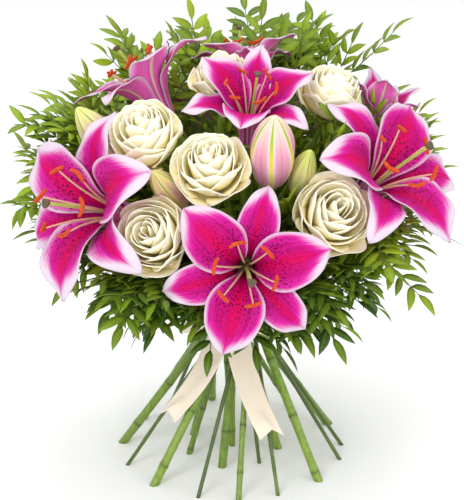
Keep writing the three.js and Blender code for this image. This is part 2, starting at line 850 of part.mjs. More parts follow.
function boxesNear(a, b, gap) {
  const [p, q] = [a.boundingBox(), b.boundingBox()];
  return [0, 1, 2].every((i) => p.min[i] - gap < q.max[i] && q.min[i] - gap < p.max[i]);
}

function isClearOf(others, gap = CLEARANCE) {
  return (solid) =>
    others.every((other) => !boxesNear(solid, other, gap) || solid.minGap(other, gap + 0.1) >= gap);
}

// The first of several forms that is clear, or nothing.
function firstClear(tries, isClear) {
  for (const make of tries) {
    const solid = make();
    if (isClear(solid)) return solid;
  }
  return null;
}

const bouquet = new THREE.Group();

function addNode(name, whole, colour) {
  const solid = whole.asOriginal().simplify(0.02);
  const mesh = solid.getMesh();
  const geometry = new THREE.BufferGeometry()
    .setAttribute("position", new THREE.BufferAttribute(new Float32Array(mesh.vertProperties), 3))
    .setIndex(new THREE.BufferAttribute(new Uint32Array(mesh.triVerts), 1));
  geometry.computeVertexNormals();
  const node = new THREE.Mesh(geometry, new THREE.MeshStandardMaterial(COLOURS[colour]));
  node.name = name;
  bouquet.add(node);
  placed.push(solid);
}

for (const [name, place] of Object.entries(ROSES)) {
  addNode(`${name}_bloom`, roseBloom().transform(standing(place, place.size)), "rose");
  const calyx = roseCalyx(STEM_RADIUS[kindOf(name)]).transform(standing(place));
  addNode(`${name}_stem`, stemSolid(name, place, 9).solid.add(calyx), "stem");
}

for (const [name, place] of Object.entries(BUDS))
  addNode(`${name}_bloom`, lilyBud(place).transform(standing(place)), "bud");

const lilies = { ...LILIES, ...HALF_OPEN };
for (const [name, place] of Object.entries(lilies)) {
  const stem = stemSolid(name, place);
  const necks = Object.values(BUDS)
    .filter((bud) => bud.on === name)
    .map((bud) => budNeck(stem.route, bud));
  addNode(`${name}_stem`, wasm.Manifold.union([stem.solid, ...necks]), "stem");
}

for (const [name, place] of Object.entries(LILIES))
  addNode(`${name}_stamens`, lilyStamens().transform(standing(place, place.size ?? 0.95)), "stamens");

for (const [name, place] of Object.entries(lilies))
  addNode(`${name}_bloom`, lilyBloom(place, isClearOf([...placed])), "lily");

addNode("ribbon_band", ribbonBand(), "ribbon");
addNode("ribbon_bow", ribbonBow(), "ribbon");

for (const name of Object.keys(SPRAYS))
  addNode(`${name}_stem`, greenStem(name, isClearOf([...placed])), "green");

export default bouquet;
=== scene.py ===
"""The fine flowers, leaves, stems and ribbon of a hand-tied bouquet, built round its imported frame.

Places and sizes are millimetres in the frame's axes, +Z up and -Y to the front, until a piece is finished.
"""
import json
import math
import random

import bmesh
import bpy
from bpy.props import FloatProperty, FloatVectorProperty, IntProperty, PointerProperty
from mathutils import Matrix, Vector
from mathutils.bvhtree import BVHTree
from mathutils.kdtree import KDTree

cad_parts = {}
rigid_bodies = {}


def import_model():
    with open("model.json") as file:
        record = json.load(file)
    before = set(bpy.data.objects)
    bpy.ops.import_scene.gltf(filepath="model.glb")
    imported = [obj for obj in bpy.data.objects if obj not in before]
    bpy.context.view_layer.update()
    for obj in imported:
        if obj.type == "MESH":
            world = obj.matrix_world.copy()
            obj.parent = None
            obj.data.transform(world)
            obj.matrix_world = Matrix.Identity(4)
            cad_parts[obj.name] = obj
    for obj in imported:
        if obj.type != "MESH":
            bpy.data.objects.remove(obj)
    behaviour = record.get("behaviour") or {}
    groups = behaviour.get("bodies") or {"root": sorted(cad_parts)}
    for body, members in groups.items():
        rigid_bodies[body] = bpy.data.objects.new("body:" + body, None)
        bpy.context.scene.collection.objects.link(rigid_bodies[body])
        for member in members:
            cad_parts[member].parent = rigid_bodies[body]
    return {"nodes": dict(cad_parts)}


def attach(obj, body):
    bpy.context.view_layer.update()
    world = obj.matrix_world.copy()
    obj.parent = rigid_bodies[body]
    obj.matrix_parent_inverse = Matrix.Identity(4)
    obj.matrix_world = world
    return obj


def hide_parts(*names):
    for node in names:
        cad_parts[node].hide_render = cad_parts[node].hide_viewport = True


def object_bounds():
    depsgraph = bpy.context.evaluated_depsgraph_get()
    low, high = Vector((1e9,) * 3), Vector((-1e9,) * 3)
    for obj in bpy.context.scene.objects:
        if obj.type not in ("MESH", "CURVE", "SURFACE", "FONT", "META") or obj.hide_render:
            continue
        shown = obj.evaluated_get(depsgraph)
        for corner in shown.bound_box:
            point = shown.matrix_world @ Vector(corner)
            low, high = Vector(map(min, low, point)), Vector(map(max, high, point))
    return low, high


bl_info = {
    "name": "Hand-tied bouquet",
    "version": (1, 0, 0),
    "blender": (4, 5, 0),
    "location": "3D View > Sidebar > Bouquet",
    "description": "Builds fine flowers, leaves, stems and ribbon over the bouquet's frame",
    "category": "Object",
}

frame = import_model()
FRAME_LOW, FRAME_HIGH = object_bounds()
BODY = "root"
MM = 0.001

# Driving dimensions, as the frame has them
WAIST_Z = 165
CURVE_Z = 196
STEM_RADIUS = {"rose": 3, "lily": 4.5, "green": 2, "centre": 3.4}
RING_LEAN = {"inner": 16, "outer": 34.5}
RING_GAP = {"inner": 0.2, "outer": 0.3}
FIRST_AZIMUTH = {"inner": -98, "outer": -88}
SEAT_GAP = 0.3
HIP_DEPTH = 9
BELOW_FLOOR = -8  # stems are made from here, and then cut level
HANDLES = {"stem": (60, 50), "stalk": (25, 30)}  # reach of a bent part's curve at its start and end

CENTRE_STEM = "rose_top_left"
INNER_RING = [
    "rose_middle", "lily_top", "rose_top_right", "lily_back_top", "green_back_left", "lily_back_left",
    "rose_left",
]
OUTER_RING = [
    "lily_front", "green_front_right", "rose_right", "lily_right", "green_right", "lily_half_open",
    "green_back_right", "rose_back", "green_back", "lily_back", "green_left_high", "green_left",
    "lily_left", "rose_front_left", "green_front_left",
]


def head(base, azimuth, tilt, turn=0, **more):
    """Where a bloom sits on its stem, which way it faces and how it is turned."""
    return {"base": base, "azimuth": azimuth, "tilt": tilt, "turn": turn, **more}


ROSES = {
    "rose_left": head((-72, -72, 340), -116, 44, 0, size=1, upright=20),
    "rose_middle": head((-18, -98, 322), -94, 48, 40, size=0.95, upright=24),
    "rose_front_left": head((-62, -110, 268), -110, 66, 80, size=1, upright=10),
    "rose_right": head((84, -100, 282), -73, 60, 20, size=1.05, upright=10),
    "rose_top_right": head((88, -10, 358), -35, 18, 60, size=0.9),
    "rose_top_left": head((-10, -2, 372), -75, 12, 100, size=0.85),
    "rose_back": head((62, 92, 318), 55, 52, 10, size=1),
}
LILIES = {
    "lily_front": head((13, -112, 244), -91, 75, -15, open=112, size=1.12, paleness=(0, 0.2)),
    "lily_left": head((-87, -64, 273), -139, 68, 5, open=104, size=1.28),
    "lily_right": head((112, -54, 284), -45, 48, 10, open=100, size=1.22, paleness=(0.1, 0.6)),
    "lily_top": head((15, -32, 335), -85, 24, -14, open=74, size=0.96, paleness=(0.1, 0.5)),
    "lily_back_top": head((16, 34, 356), 100, 16, 0, open=66, size=0.85),
    "lily_back_left": head((-56, 8, 340), 165, 34, 20, open=82, size=1.05),
    "lily_back": head((-30, 92, 290), 106, 62, 10, open=95, size=1.05),
}
HALF_OPEN = {
    "lily_half_open": head((130, 22, 318), 12, 22, 0, open=30, size=0.75, reflex=24),
}
BUDS = {
    "bud_middle": head((35, -86, 312), -86, 28, length=88, radius=21, on="lily_top"),
    "bud_left": head((-45, -84, 289), -124, 44, length=68, radius=13, on="lily_left"),
    "bud_right": head((59, -77, 302), -70, 34, length=62, radius=12, on="lily_front"),
    "bud_top_left": head((-102, -32, 314), -168, 36, length=76, radius=16.5, on="lily_back_left"),
}

radians = math.radians


def lerp(a, b, t):
    return a + (b - a) * t


def smooth(t):
    s = min(1.0, max(0.0, t))
    return s * s * (3 - 2 * s)


def standing(place, size=1.0):
    """The matrix that stands a part built along +Z on its base, facing its azimuth and tilt."""
    return (
        Matrix.Translation(Vector(place["base"]))
        @ Matrix.Rotation(radians(place["azimuth"]), 4, "Z")
        @ Matrix.Rotation(radians(place["tilt"]), 4, "Y")
        @ Matrix.Rotation(radians(place["turn"]), 4, "Z")
        @ Matrix.Scale(size, 4)
    )


def polar(out, angle, z):
    return Vector((out * math.cos(angle), out * math.sin(angle), z))


def facing(azimuth, tilt):
    return polar(math.sin(radians(tilt)), radians(azimuth), math.cos(radians(tilt)))


def beside(azimuth, along, out, z):
    """A point out from the Z axis on this azimuth, then along the tangent there."""
    cos, sin = math.cos(radians(azimuth)), math.sin(radians(azimuth))
    return Vector((out * cos - along * sin, out * sin + along * cos, z))


def on_axis(place, height):
    """The point at this height over a bloom's base, along its own axis."""
    return Vector(place["base"]) + facing(place["azimuth"], place["tilt"]) * height


def shares(steps):
    return [i / steps for i in range(steps + 1)]


class Curve:
    """A cubic Bezier curve that can also be read by its own length."""

    STEPS = 60

    def __init__(self, *handles):
        self.handles = [Vector(h) for h in handles]
        points = [self.at(t) for t in shares(self.STEPS)]
        self.sums = [0.0]
        for a, b in zip(points, points[1:]):
            self.sums.append(self.sums[-1] + (b - a).length)
        self.length = self.sums[-1]

    def at(self, t):
        a, b, c, d = self.handles
        s = 1 - t
        return a * s**3 + b * (3 * s * s * t) + c * (3 * s * t * t) + d * t**3

    def tangent(self, t):
        a, b, c, d = self.handles
        s = 1 - t
        return ((b - a) * (s * s) + (c - b) * (2 * s * t) + (d - c) * (t * t)).normalized()

    def share(self, u):
        """The curve's own parameter at a share of its length."""
        want = min(1.0, max(0.0, u)) * self.length
        i = 0
        while i < self.STEPS - 1 and self.sums[i + 1] < want:
            i += 1
        step = self.sums[i + 1] - self.sums[i]
        return (i + (want - self.sums[i]) / step) / self.STEPS

    def points(self, steps):
        """Points along the curve at equal steps of its length."""
        return [self.at(self.share(u)) for u in shares(steps)]


def kind_of(name):
    return "centre" if name == CENTRE_STEM else name.split("_")[0]


def ring_lines(names, ring):
    """Each stem's straight line, as its point at the waist and its direction, and the ring's radius."""
    lean = radians(RING_LEAN[ring])
    widths = [
        (STEM_RADIUS[kind_of(a)] + STEM_RADIUS[kind_of(b)] + RING_GAP[ring]) / math.cos(lean)
        for a, b in zip(names, names[1:] + names[:1])
    ]

    def turns(radius):
        return [2 * math.asin(width / (2 * radius)) for width in widths]

    radius = sum(widths) / (2 * math.pi)
    while sum(turns(radius)) > 2 * math.pi:
        radius += 0.01
    azimuth = radians(FIRST_AZIMUTH[ring])
    lines = {}
    for name, turn in zip(names, turns(radius)):
        out = polar(1, azimuth, 0)
        waist = Vector((out.y, -out.x, 0)) * radius + Vector((0, 0, WAIST_Z))
        lines[name] = (waist, out * math.sin(lean) + Vector((0, 0, math.cos(lean))))
        azimuth += turn
    return lines, radius


INNER_LINES, _ = ring_lines(INNER_RING, "inner")
OUTER_LINES, OUTER_RADIUS = ring_lines(OUTER_RING, "outer")
LINES = {
    CENTRE_STEM: (Vector((0, 0, WAIST_Z)), Vector((0, 0, 1))),
    **INNER_LINES,
    **OUTER_LINES,
}


def on_line(name, z):
    waist, direction = LINES[name]
    return waist + direction * ((z - WAIST_Z) / direction.z)


def stem_curve(name, place, below):
    """The bent upper part of a stem, from its straight part to its bloom."""
    bend = on_line(name, CURVE_Z)
    return bent_to(bend, LINES[name][1], place, below, *HANDLES["stem"])


def bent_to(start, direction, place, below, leave, arrive):
    """A curve that leaves along a direction and arrives under a bloom along the bloom's own axis."""
    end = on_axis(place, -below)
    axis = facing(place["azimuth"], place["tilt"])
    return Curve(start, start + direction * leave, end - axis * arrive, end)


class Corners:
    """The corner points of a frame node, to tell which of several forms it was given."""

    def __init__(self, node):
        vertices = frame["nodes"][node].data.vertices
        self.tree = KDTree(len(vertices))
        for vertex in vertices:
            self.tree.insert(vertex.co, vertex.index)
        self.tree.balance()

    def nearest(self, forms, most):
        """The value of the (value, point) pair whose point lies nearest to a corner, if near enough."""
        misses = [(self.tree.find(point * MM)[2] / MM, i) for i, (_, point) in enumerate(forms)]
        miss, i = min(misses)
        return forms[i][0] if miss < most else None


# Meshes
PATTERN = "pattern"


def new_mesh():
    """An empty bmesh with the layer that its materials read: across, along and tone."""
    bm = bmesh.new()
    bm.verts.layers.float_vector.new(PATTERN)
    return bm


def pattern_of(bm):
    return bm.verts.layers.float_vector[PATTERN]


def sheet(bm, columns, rows, tone, place):
    """A grid whose points are put at place(v, u): v runs across from -1 to 1 and u along from 0 to 1."""
    layer = pattern_of(bm)
    verts = bmesh.ops.create_grid(bm, x_segments=columns, y_segments=rows, size=0.5)["verts"]
    for vert in verts:
        v, u = -2 * vert.co.x, vert.co.y + 0.5
        vert[layer] = (v, u, tone)
        vert.co = place(v, u)
    return verts


def faces_of(verts):
    return list({face for vert in verts for face in vert.link_faces})


def sweep(bm, points, radii, sides, tone=0.5, marks=None):
    """A closed round tube through points, by extruding a circle from each to the next."""
    layer = pattern_of(bm)
    ring = bmesh.ops.create_circle(bm, cap_ends=True, segments=sides, radius=1)["verts"]
    made = list(ring)
    edges = list({edge for vert in ring for edge in vert.link_edges})
    before = Matrix.Identity(4)
    turn = Vector((0, 0, 1)).rotation_difference(points[1] - points[0]).to_matrix()
    heading = (points[1] - points[0]).normalized()
    for i, (point, radius) in enumerate(zip(points, radii)):
        after = points[min(i + 1, len(points) - 1)] - points[max(i - 1, 0)]
        turn = heading.rotation_difference(after).to_matrix() @ turn
        heading = after.normalized()
        here = Matrix.Translation(point) @ turn.to_4x4() @ Matrix.Scale(radius, 4)
        if i:
            grown = bmesh.ops.extrude_edge_only(bm, edges=edges)["geom"]
            ring = [x for x in grown if isinstance(x, bmesh.types.BMVert)]
            inside = set(ring)
            edges = [x for x in grown if isinstance(x, bmesh.types.BMEdge) and inside.issuperset(x.verts)]
            made += ring
        bmesh.ops.transform(bm, matrix=here @ before.inverted(), verts=ring)
        for vert in ring:
            vert[layer] = (marks[i] if marks else 0, i / (len(points) - 1), tone)
        before = here
    bmesh.ops.edgeloop_fill(bm, edges=edges)
    return made


def turned(bm, profile, sides, matrix):
    """A closed solid of revolution of a profile of (radius, height) that starts and ends on the axis."""
    layer = pattern_of(bm)
    verts = [bm.verts.new((r, 0, z)) for r, z in profile]
    edges = [bm.edges.new(pair) for pair in zip(verts, verts[1:])]
    before = set(bm.verts) - set(verts)
    around = {"cent": (0, 0, 0), "axis": (0, 0, 1), "angle": 2 * math.pi, "use_merge": True}
    bmesh.ops.spin(bm, geom=verts + edges, steps=sides, **around)
    made = [vert for vert in bm.verts if vert not in before]
    bmesh.ops.remove_doubles(bm, verts=made, dist=1e-4)
    made = [vert for vert in bm.verts if vert not in before]
    top = max(z for _, z in profile)
    for vert in made:
        vert[layer] = (0, vert.co.z / top, 0.5)
    bmesh.ops.transform(bm, matrix=matrix, verts=made)
    return made


def paint(verts, index):
    for face in faces_of(verts):
        face.material_index = index


class Parts:
    """A piece that grows by small bmeshes, since an operator takes longer the more mesh there is."""

    def __init__(self):
        self.meshes = []

    def add(self, bm):
        self.meshes.append(bpy.data.meshes.new("part"))
        bm.to_mesh(self.meshes[-1])
        bm.free()

    def join(self):
        whole = new_mesh()
        for mesh in self.meshes:
            whole.from_mesh(mesh)
            bpy.data.meshes.remove(mesh)
        return whole


def add_object(name, data):
    made = bpy.data.objects.new(name, data)
    bpy.context.scene.collection.objects.link(made)
    return made


def add_piece(bm, name, materials, node_name, thickness=0.0):
    """Makes the bmesh, in millimetres, a piece that stands for a frame node. Sheets get a thickness."""
    if not thickness:
        bmesh.ops.recalc_face_normals(bm, faces=bm.faces[:])
    bmesh.ops.scale(bm, vec=(MM, MM, MM), verts=bm.verts[:])
    mesh = bpy.data.meshes.new(name)
    bm.to_mesh(mesh)
    bm.free()
    mesh.shade_smooth()
    for look in materials:
        mesh.materials.append(look)
    piece = add_object(name, mesh)
    if thickness:
        shell = piece.modifiers.new("Thickness", "SOLIDIFY")
        shell.thickness = thickness * MM
        shell.offset = 0
        shell.material_offset = 1 if len(materials) > 1 else 0
    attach(piece, BODY)
    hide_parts(node_name)
    return piece


# Shaders
class Value:
    """An output in a node tree. Its sums and products with numbers or other values become Math nodes."""

    def __init__(self, socket):
        self.socket, self.tree = socket, socket.id_data

    def beside(self, output):
        """Another output of the same node."""
        return Value(self.socket.node.outputs[output])

    def math(self, operation, other=0.0):
        return node(self.tree, "Math", 0, {0: self, 1: other}, operation=operation)

    def __add__(self, other):
        return self.math("ADD", other)

    def __sub__(self, other):
        return self.math("SUBTRACT", other)

    def __mul__(self, other):
        return self.math("MULTIPLY", other)

    def __abs__(self):
        return self.math("ABSOLUTE")

    def ease(self, low, high, to_low=0.0, to_high=1.0):
        """Turns smoothly from one number to another as the value goes from low to high."""
        limits = {"From Min": low, "From Max": high, "To Min": to_low, "To Max": to_high}
        return node(
            self.tree, "MapRange", "Result", {"Value": self, **limits}, interpolation_type="SMOOTHSTEP"
        )

    def mix(self, a, b):
        """The colour a where the value is 0, and b where it is 1."""
        return node(self.tree, "Mix", 2, {0: self, 6: a, 7: b}, data_type="RGBA")


def plug(made, inputs):
    """Links a node's inputs to values, or sets them to plain numbers and colours."""
    for label, value in inputs.items():
        if isinstance(value, Value):
            made.id_data.links.new(value.socket, made.inputs[label])
        else:
            made.inputs[label].default_value = value


def node(tree, kind, output, inputs, **settings):
    made = tree.nodes.new("ShaderNode" + kind)
    for name, value in settings.items():
        setattr(made, name, value)
    plug(made, inputs)
    return Value(made.outputs[output])


def noise(where, scale, detail):
    return node(where.tree, "TexNoise", "Fac", {"Vector": where, "Scale": scale, "Detail": detail})


def vector(x, y, z=0.0):
    return node(x.tree, "CombineXYZ", 0, {"X": x, "Y": y, "Z": z})


def separate(pattern):
    x = node(pattern.tree, "SeparateXYZ", "X", {"Vector": pattern})
    return x, x.beside("Y"), x.beside("Z")


def group(name, inputs, outputs):
    """A node group with sockets named with their kinds: its output node, and its inputs as values."""
    tree = bpy.data.node_groups.new(name, "ShaderNodeTree")
    for way, sockets in (("INPUT", inputs), ("OUTPUT", outputs)):
        for label, kind in sockets.items():
            tree.interface.new_socket(label, in_out=way, socket_type="NodeSocket" + kind)
    given = tree.nodes.new("NodeGroupInput").outputs
    return tree.nodes.new("NodeGroupOutput"), [Value(given[label]) for label in inputs]


def mottle_group(name):
    """Living tissue's uneven tone: a colour made lighter and darker in soft patches."""
    numbers = dict.fromkeys(("Scale", "Contrast", "Tone", "Tone Range"), "Float")
    out, (colour, where, scale, contrast, tone, tone_range) = group(
        name, {"Colour": "Color", "Vector": "Vector", **numbers}, {"Colour": "Color"}
    )
    swing = (noise(where, scale, 3.0) - 0.5) * contrast
    value = swing * 2.0 + 1.0 + (tone - 0.5) * tone_range
    shift = {"Hue": swing * 0.06 + 0.5, "Saturation": 1.0, "Value": value, "Color": colour}
    plug(out, {"Colour": node(colour.tree, "HueSaturation", "Color", shift)})


def veins_group(name):
    """Fine veins that run along a petal or leaf, as a mask."""
    numbers = dict.fromkeys(("Across", "Along", "Tone", "Count"), "Float")
    out, (across, along, tone, count) = group(name, numbers, {"Mask": "Float"})
    lines = noise(vector(across * count, along * 2.0, tone * 37.0), 1.0, 2.0)
    plug(out, {"Mask": lines.ease(0.35, 0.65)})


LILY_COLOURS = ("Centre", "Flesh", "Margin", "Spot", "Vein", "Throat")
LILY_NUMBERS = ("Margin Start", "Centre Width", "Tip Fade", "Spots")


def lily_group(name):
    """A lily tepal's face: crimson down the middle, pink flesh, a pale margin and dark raised spots."""
    colours, numbers = dict.fromkeys(LILY_COLOURS, "Color"), dict.fromkeys(LILY_NUMBERS, "Float")
    out, (pattern, *given) = group(
        name, {"Pattern": "Vector", **colours, **numbers}, {"Colour": "Color", "Height": "Float"}
    )
    centre, flesh, margin, dark, vein, green, margin_start, centre_width, tip_fade, spots = given
    v, u, tone = separate(pattern)
    place = vector(v, u, tone * 41.0)
    across = abs(v) + (noise(place, 3.0, 3.0) - 0.5) * 0.35
    lines = veins(v, u, tone, 26.0)
    spread = across + (tone - 0.5) * 0.34 + u.ease(0.66, 1.0) * tip_fade + (lines - 0.5) * 0.14
    past_margin = spread - margin_start
    deep = (across + u * 0.12).ease(0.0, centre_width, 1.0, 0.0) * u.ease(0.72, 0.93, 1.0, 0.0)
    grain = noise(place, 26.0, 2.0).ease(0.45, 0.7) * u.ease(0.5, 0.85, 0.4, 0.12)
    colour = (lines * 0.3).mix(flesh, vein)
    colour = grain.mix(colour, dark)
    colour = (past_margin.ease(-0.42, 0.15) * 0.75).mix(colour, vein)
    colour = past_margin.ease(0.0, 0.58).mix(colour, margin)
    colour = (deep * 0.95).mix(colour, centre)
    colour = (abs(v).ease(0.84, 1.0) * 0.8).mix(colour, margin)
    cells = {"Vector": vector(v * 9.0 + tone * 53.0, u * 36.0), "Scale": 1.0, "Randomness": 1.0}
    dots = node(v.tree, "TexVoronoi", "Distance", cells, voronoi_dimensions="2D")
    size = node(v.tree, "SeparateColor", "Red", {"Color": dots.beside("Color")}).ease(0.05, 0.7) * 0.4
    where = u.ease(0.08, 0.18) * u.ease(0.5, 0.85, 1.0, 0.0) * across.ease(0.7, 1.0, 1.0, 0.0)
    spot = dots.ease(size * 0.5, size, 1.0, 0.0) * where * spots
    throat = u.ease(0.02, 0.16, 0.85, 0.0) * across.ease(0.1, 0.7, 1.0, 0.0)
    colour = throat.mix(spot.mix(colour, dark), green)
    plug(out, {"Colour": colour, "Height": lines * 0.25 + abs(v).ease(0.0, 0.07) * 0.9 + spot})


GROUPS = {"Tissue mottle": mottle_group, "Long veins": veins_group, "Lily face": lily_group}


def from_group(tree, name, output, inputs):
    """An output of the node group of this name, which is made the first time."""
    if name not in bpy.data.node_groups:
        GROUPS[name](name)
    return node(tree, "Group", output, inputs, node_tree=bpy.data.node_groups[name])


def veins(across, along, tone, count):
    inputs = {"Across": across, "Along": along, "Tone": tone, "Count": count}
    return from_group(across.tree, "Long veins", "Mask", inputs)


def mottled(colour, where, scale, contrast, tone=0.5, tone_range=0.2):
    inputs = {"Colour": colour, "Vector": where, "Scale": scale, "Contrast": contrast}
    return from_group(
        where.tree, "Tissue mottle", "Colour", {**inputs, "Tone": tone, "Tone Range": tone_range}
    )


class Skin:
    """A material in the making, whose Principled shader holds what is the same all over."""

    def __init__(self, name, finish, more=()):
        roughness, specular, *self.relief = finish
        self.material = bpy.data.materials.new(name)
        self.material.use_nodes = True
        self.tree = self.material.node_tree
        self.shader = self.tree.nodes["Principled BSDF"]
        plug(self.shader, {"Roughness": roughness, "Specular IOR Level": specular, **dict(more)})

    def pattern(self):
        return node(self.tree, "Attribute", "Vector", {}, attribute_name=PATTERN)

    def where(self):
        return node(self.tree, "TexCoord", "Object", {})

    def finish(self, colour, height):
        depth, strength = self.relief
        relief = {"Height": height, "Strength": strength, "Distance": depth}
        plug(self.shader, {"Base Color": colour, "Normal": node(self.tree, "Bump", 0, relief)})
        return self.material


# Roughness and specular level, then the depth in metres and strength of the relief
FINISH = {
    "tepal": (0.55, 0.08, 0.0005, 0.5),
    "rose": (0.62, 0.12, 0.0003, 0.25),
    "bud": (0.45, 0.4, 0.0003, 0.3),
    "leaf": (0.42, 0.25, 0.0002, 0.3),
    "stem": (0.34, 0.5, 0.0003, 0.35),
    "ribbon": (0.38, 0.5, 0.00015, 0.25),
}
CUT_GRAIN = (700.0, 0.4, 0.7, 0.0003)


def lily_front_material(name, *numbers):
    """The inside of a tepal, with the numbers of the lily group in its own order."""
    look = bpy.context.scene.bouquet_lily
    skin = Skin(name, FINISH["tepal"])
    inputs = {label: getattr(look, label.lower()) for label in LILY_COLOURS}
    inputs.update(zip(LILY_NUMBERS, numbers))
    face = from_group(skin.tree, "Lily face", "Colour", {"Pattern": skin.pattern(), **inputs})
    return skin.finish(face, face.beside("Height"))


def lily_back_material(name):
    """The paler outside of a tepal, with its cream midrib."""
    look = bpy.context.scene.bouquet_lily
    skin = Skin(name, FINISH["tepal"])
    v, u, tone = separate(skin.pattern())
    across = abs(v)
    lines = veins(v, u, tone, 22.0)
    colour = (lines * 0.3).mix(look.outside, look.vein)
    colour = across.ease(0.7, 1.0, 0.0, 0.8).mix(colour, look.margin)
    rib = across.ease(0.04, 0.1, 1.0, 0.0) * u.ease(0.9, 1.0, 1.0, 0.0)
    return skin.finish(rib.mix(colour, look.midrib), lines + rib * 2.0)


def rose_material(name):
    look = bpy.context.scene.bouquet_rose
    depths = {"Subsurface Radius": (0.002, 0.0014, 0.0007), "Subsurface Scale": 1.0}
    skin = Skin(name, FINISH["rose"], {"Subsurface Weight": 0.25, **depths})
    v, u, tone = separate(skin.pattern())
    place = vector(v, u, tone * 29.0)
    # The petal turns to the warm yellow base deep in the cup: partly the petals' own yellow foot, partly
    # painted warm shade in the creases between them.
    wash = (noise(place, 2.5, 2.0) - 0.5) * 0.5 - u + 1.0
    colour = wash.ease(0.04, 0.4).mix(look.petal, look.base)
    colour = (wash.ease(0.45, 0.95) * 0.6 * tone.ease(0.1, 0.3, 1.0, 0.12)).mix(colour, look.green)
    # Painted highlight: each petal whitens towards its rim.
    colour = u.ease(0.8, 1.0, 0.0, 0.3).mix(colour, look.rim)
    return skin.finish(mottled(colour, place, 4.0, 0.08, tone, 0.08), veins(v, u, tone, 18.0))


def bud_material(name, flesh, tip):
    """A closed bud: flesh between six yellow-green ribs, greener at its tip."""
    look = bpy.context.scene.bouquet_lily
    skin = Skin(name, FINISH["bud"])
    rib, along, around = separate(skin.pattern())
    lines = veins(around, along, rib, 30.0)
    colour = (lines * 0.3).mix(flesh, look.margin)
    colour = along.ease(0.55, 1.0, 0.0, 0.75).mix(colour, tip)
    colour = along.ease(0.0, 0.25, 0.6, 0.0).mix(colour, tip)
    colour = rib.ease(0.1, 0.85, 0.0, 0.6).mix(colour, look.bud_bloom)
    limit = along.ease(0.45, 0.95, 0.8, 0.72)
    stripe = along.ease(0.45, 0.85).mix(look.rib, look.rib_tip)
    colour = rib.ease(limit, limit + 0.16).mix(colour, stripe)
    colour = rib.ease(-1.0, -0.9, 0.25, 0.0).mix(colour, look.seam)
    return skin.finish(colour, lines)


def green_material(name, light, dark):
    """A leaf: darker between its pale midrib and side veins, each leaf in a tone of its own that also
    carries painted light and shade.
    """
    skin = Skin(name, FINISH["leaf"])
    v, u, tone = separate(skin.pattern())
    across = abs(v)
    side = (u * 16.0 - across * 2.2).math("PINGPONG", 0.5).ease(0.36, 0.5)
    lines = across.ease(0.02, 0.16, 1.0, 0.0).math("MAXIMUM", side * 0.35)
    colour = (lines * 0.45).mix(tone.mix(dark, light), light)
    return skin.finish(mottled(colour, skin.where(), 60.0, 0.35, tone, 0.25), lines)


def stem_material(name, colour, dark):
    """A stem: long darker streaks, dark rings at its nodes, and yellowed patches."""
    skin = Skin(name, FINISH["stem"])
    where = skin.where()
    ring, _, tone = separate(skin.pattern())
    streak = noise(node(skin.tree, "Mapping", 0, {"Vector": where, "Scale": (1.0, 1.0, 0.12)}), 420.0, 2.0)
    patches = noise(where, 26.0, 2.0).ease(0.55, 0.75, 0.0, 0.4)
    tinted = (streak.ease(0.4, 0.7) * 0.4).mix(colour, dark)
    tinted = patches.mix(tinted, bpy.context.scene.bouquet_green.yellowed)
    tinted = (ring * 0.8).mix(tinted, dark)
    return skin.finish(mottled(tinted, where, 90.0, 0.25, tone, 0.3), streak)


def plain_tissue(name, colour, scale, contrast, roughness, depth):
    """A small part of a flower with grain of its own, such as an anther thick with pollen."""
    skin = Skin(name, (roughness, 0.3, depth, 0.5))
    where = skin.where()
    return skin.finish(mottled(colour, where, scale / 3, contrast), noise(where, scale, 3.0))


def satin_material(name):
    """Cream satin: fine crossed threads under a soft sheen."""
    look = bpy.context.scene.bouquet_ribbon
    skin = Skin(name, FINISH["ribbon"], {"Sheen Weight": 0.4, "Sheen Roughness": 0.4})
    v, u, _ = separate(skin.pattern())
    threads = (v * 150.0).math("SINE") * 0.5 + (u * 900.0).math("SINE") * 0.3
    edge = abs(v).ease(0.9, 0.96)
    colour = (edge * 0.5).mix(look.cloth, look.edge)
    return skin.finish(mottled(colour, skin.where(), 40.0, 0.08), threads + edge)


def material(name, make, *args):
    """The material of this name, made the first time that it is asked for."""
    return bpy.data.materials.get(name) or make(name, *args)


# What a user may change
def colour_prop(label, words, default):
    return FloatVectorProperty(
        name=label, description=words, default=(*default, 1.0), size=4, min=0.0, max=1.0, subtype="COLOR"
    )


def size_prop(label, words, default, low, high):
    return FloatProperty(name=label, description=words, default=default, min=low, max=high)


def count_prop(label, words, default, low, high):
    return IntProperty(name=label, description=words, default=default, min=low, max=high)


def metre_prop(label, words, default):
    return FloatProperty(name=label, description=words, default=default, subtype="DISTANCE", unit="LENGTH")


class BouquetRose(bpy.types.PropertyGroup):
    petal: colour_prop("Petal", "Creamy white of a petal's open part", (0.98, 0.92, 0.73))
    # Rim is a painted highlight along each petal's edge.
    rim: colour_prop("Rim", "Almost white edge of a petal", (0.97, 0.93, 0.80))
    # Base is partly the petals' own yellow foot and partly painted warm shade deep between the petals.
    base: colour_prop("Base", "Warm yellow deep between the petals", (1.0, 0.87, 0.45))
    green: colour_prop("Green", "Green tinge at a petal's foot", (0.82, 0.84, 0.36))
    thickness: size_prop("Thickness", "Thickness of a petal in millimetres", 0.6, 0.2, 1.5)
    curl: size_prop("Curl", "How far the rims roll out, as a share of the usual", 1.0, 0.0, 2.0)
    ruffle: size_prop("Ruffle", "Height of the waves along a rim in millimetres", 1.8, 0.0, 4.0)


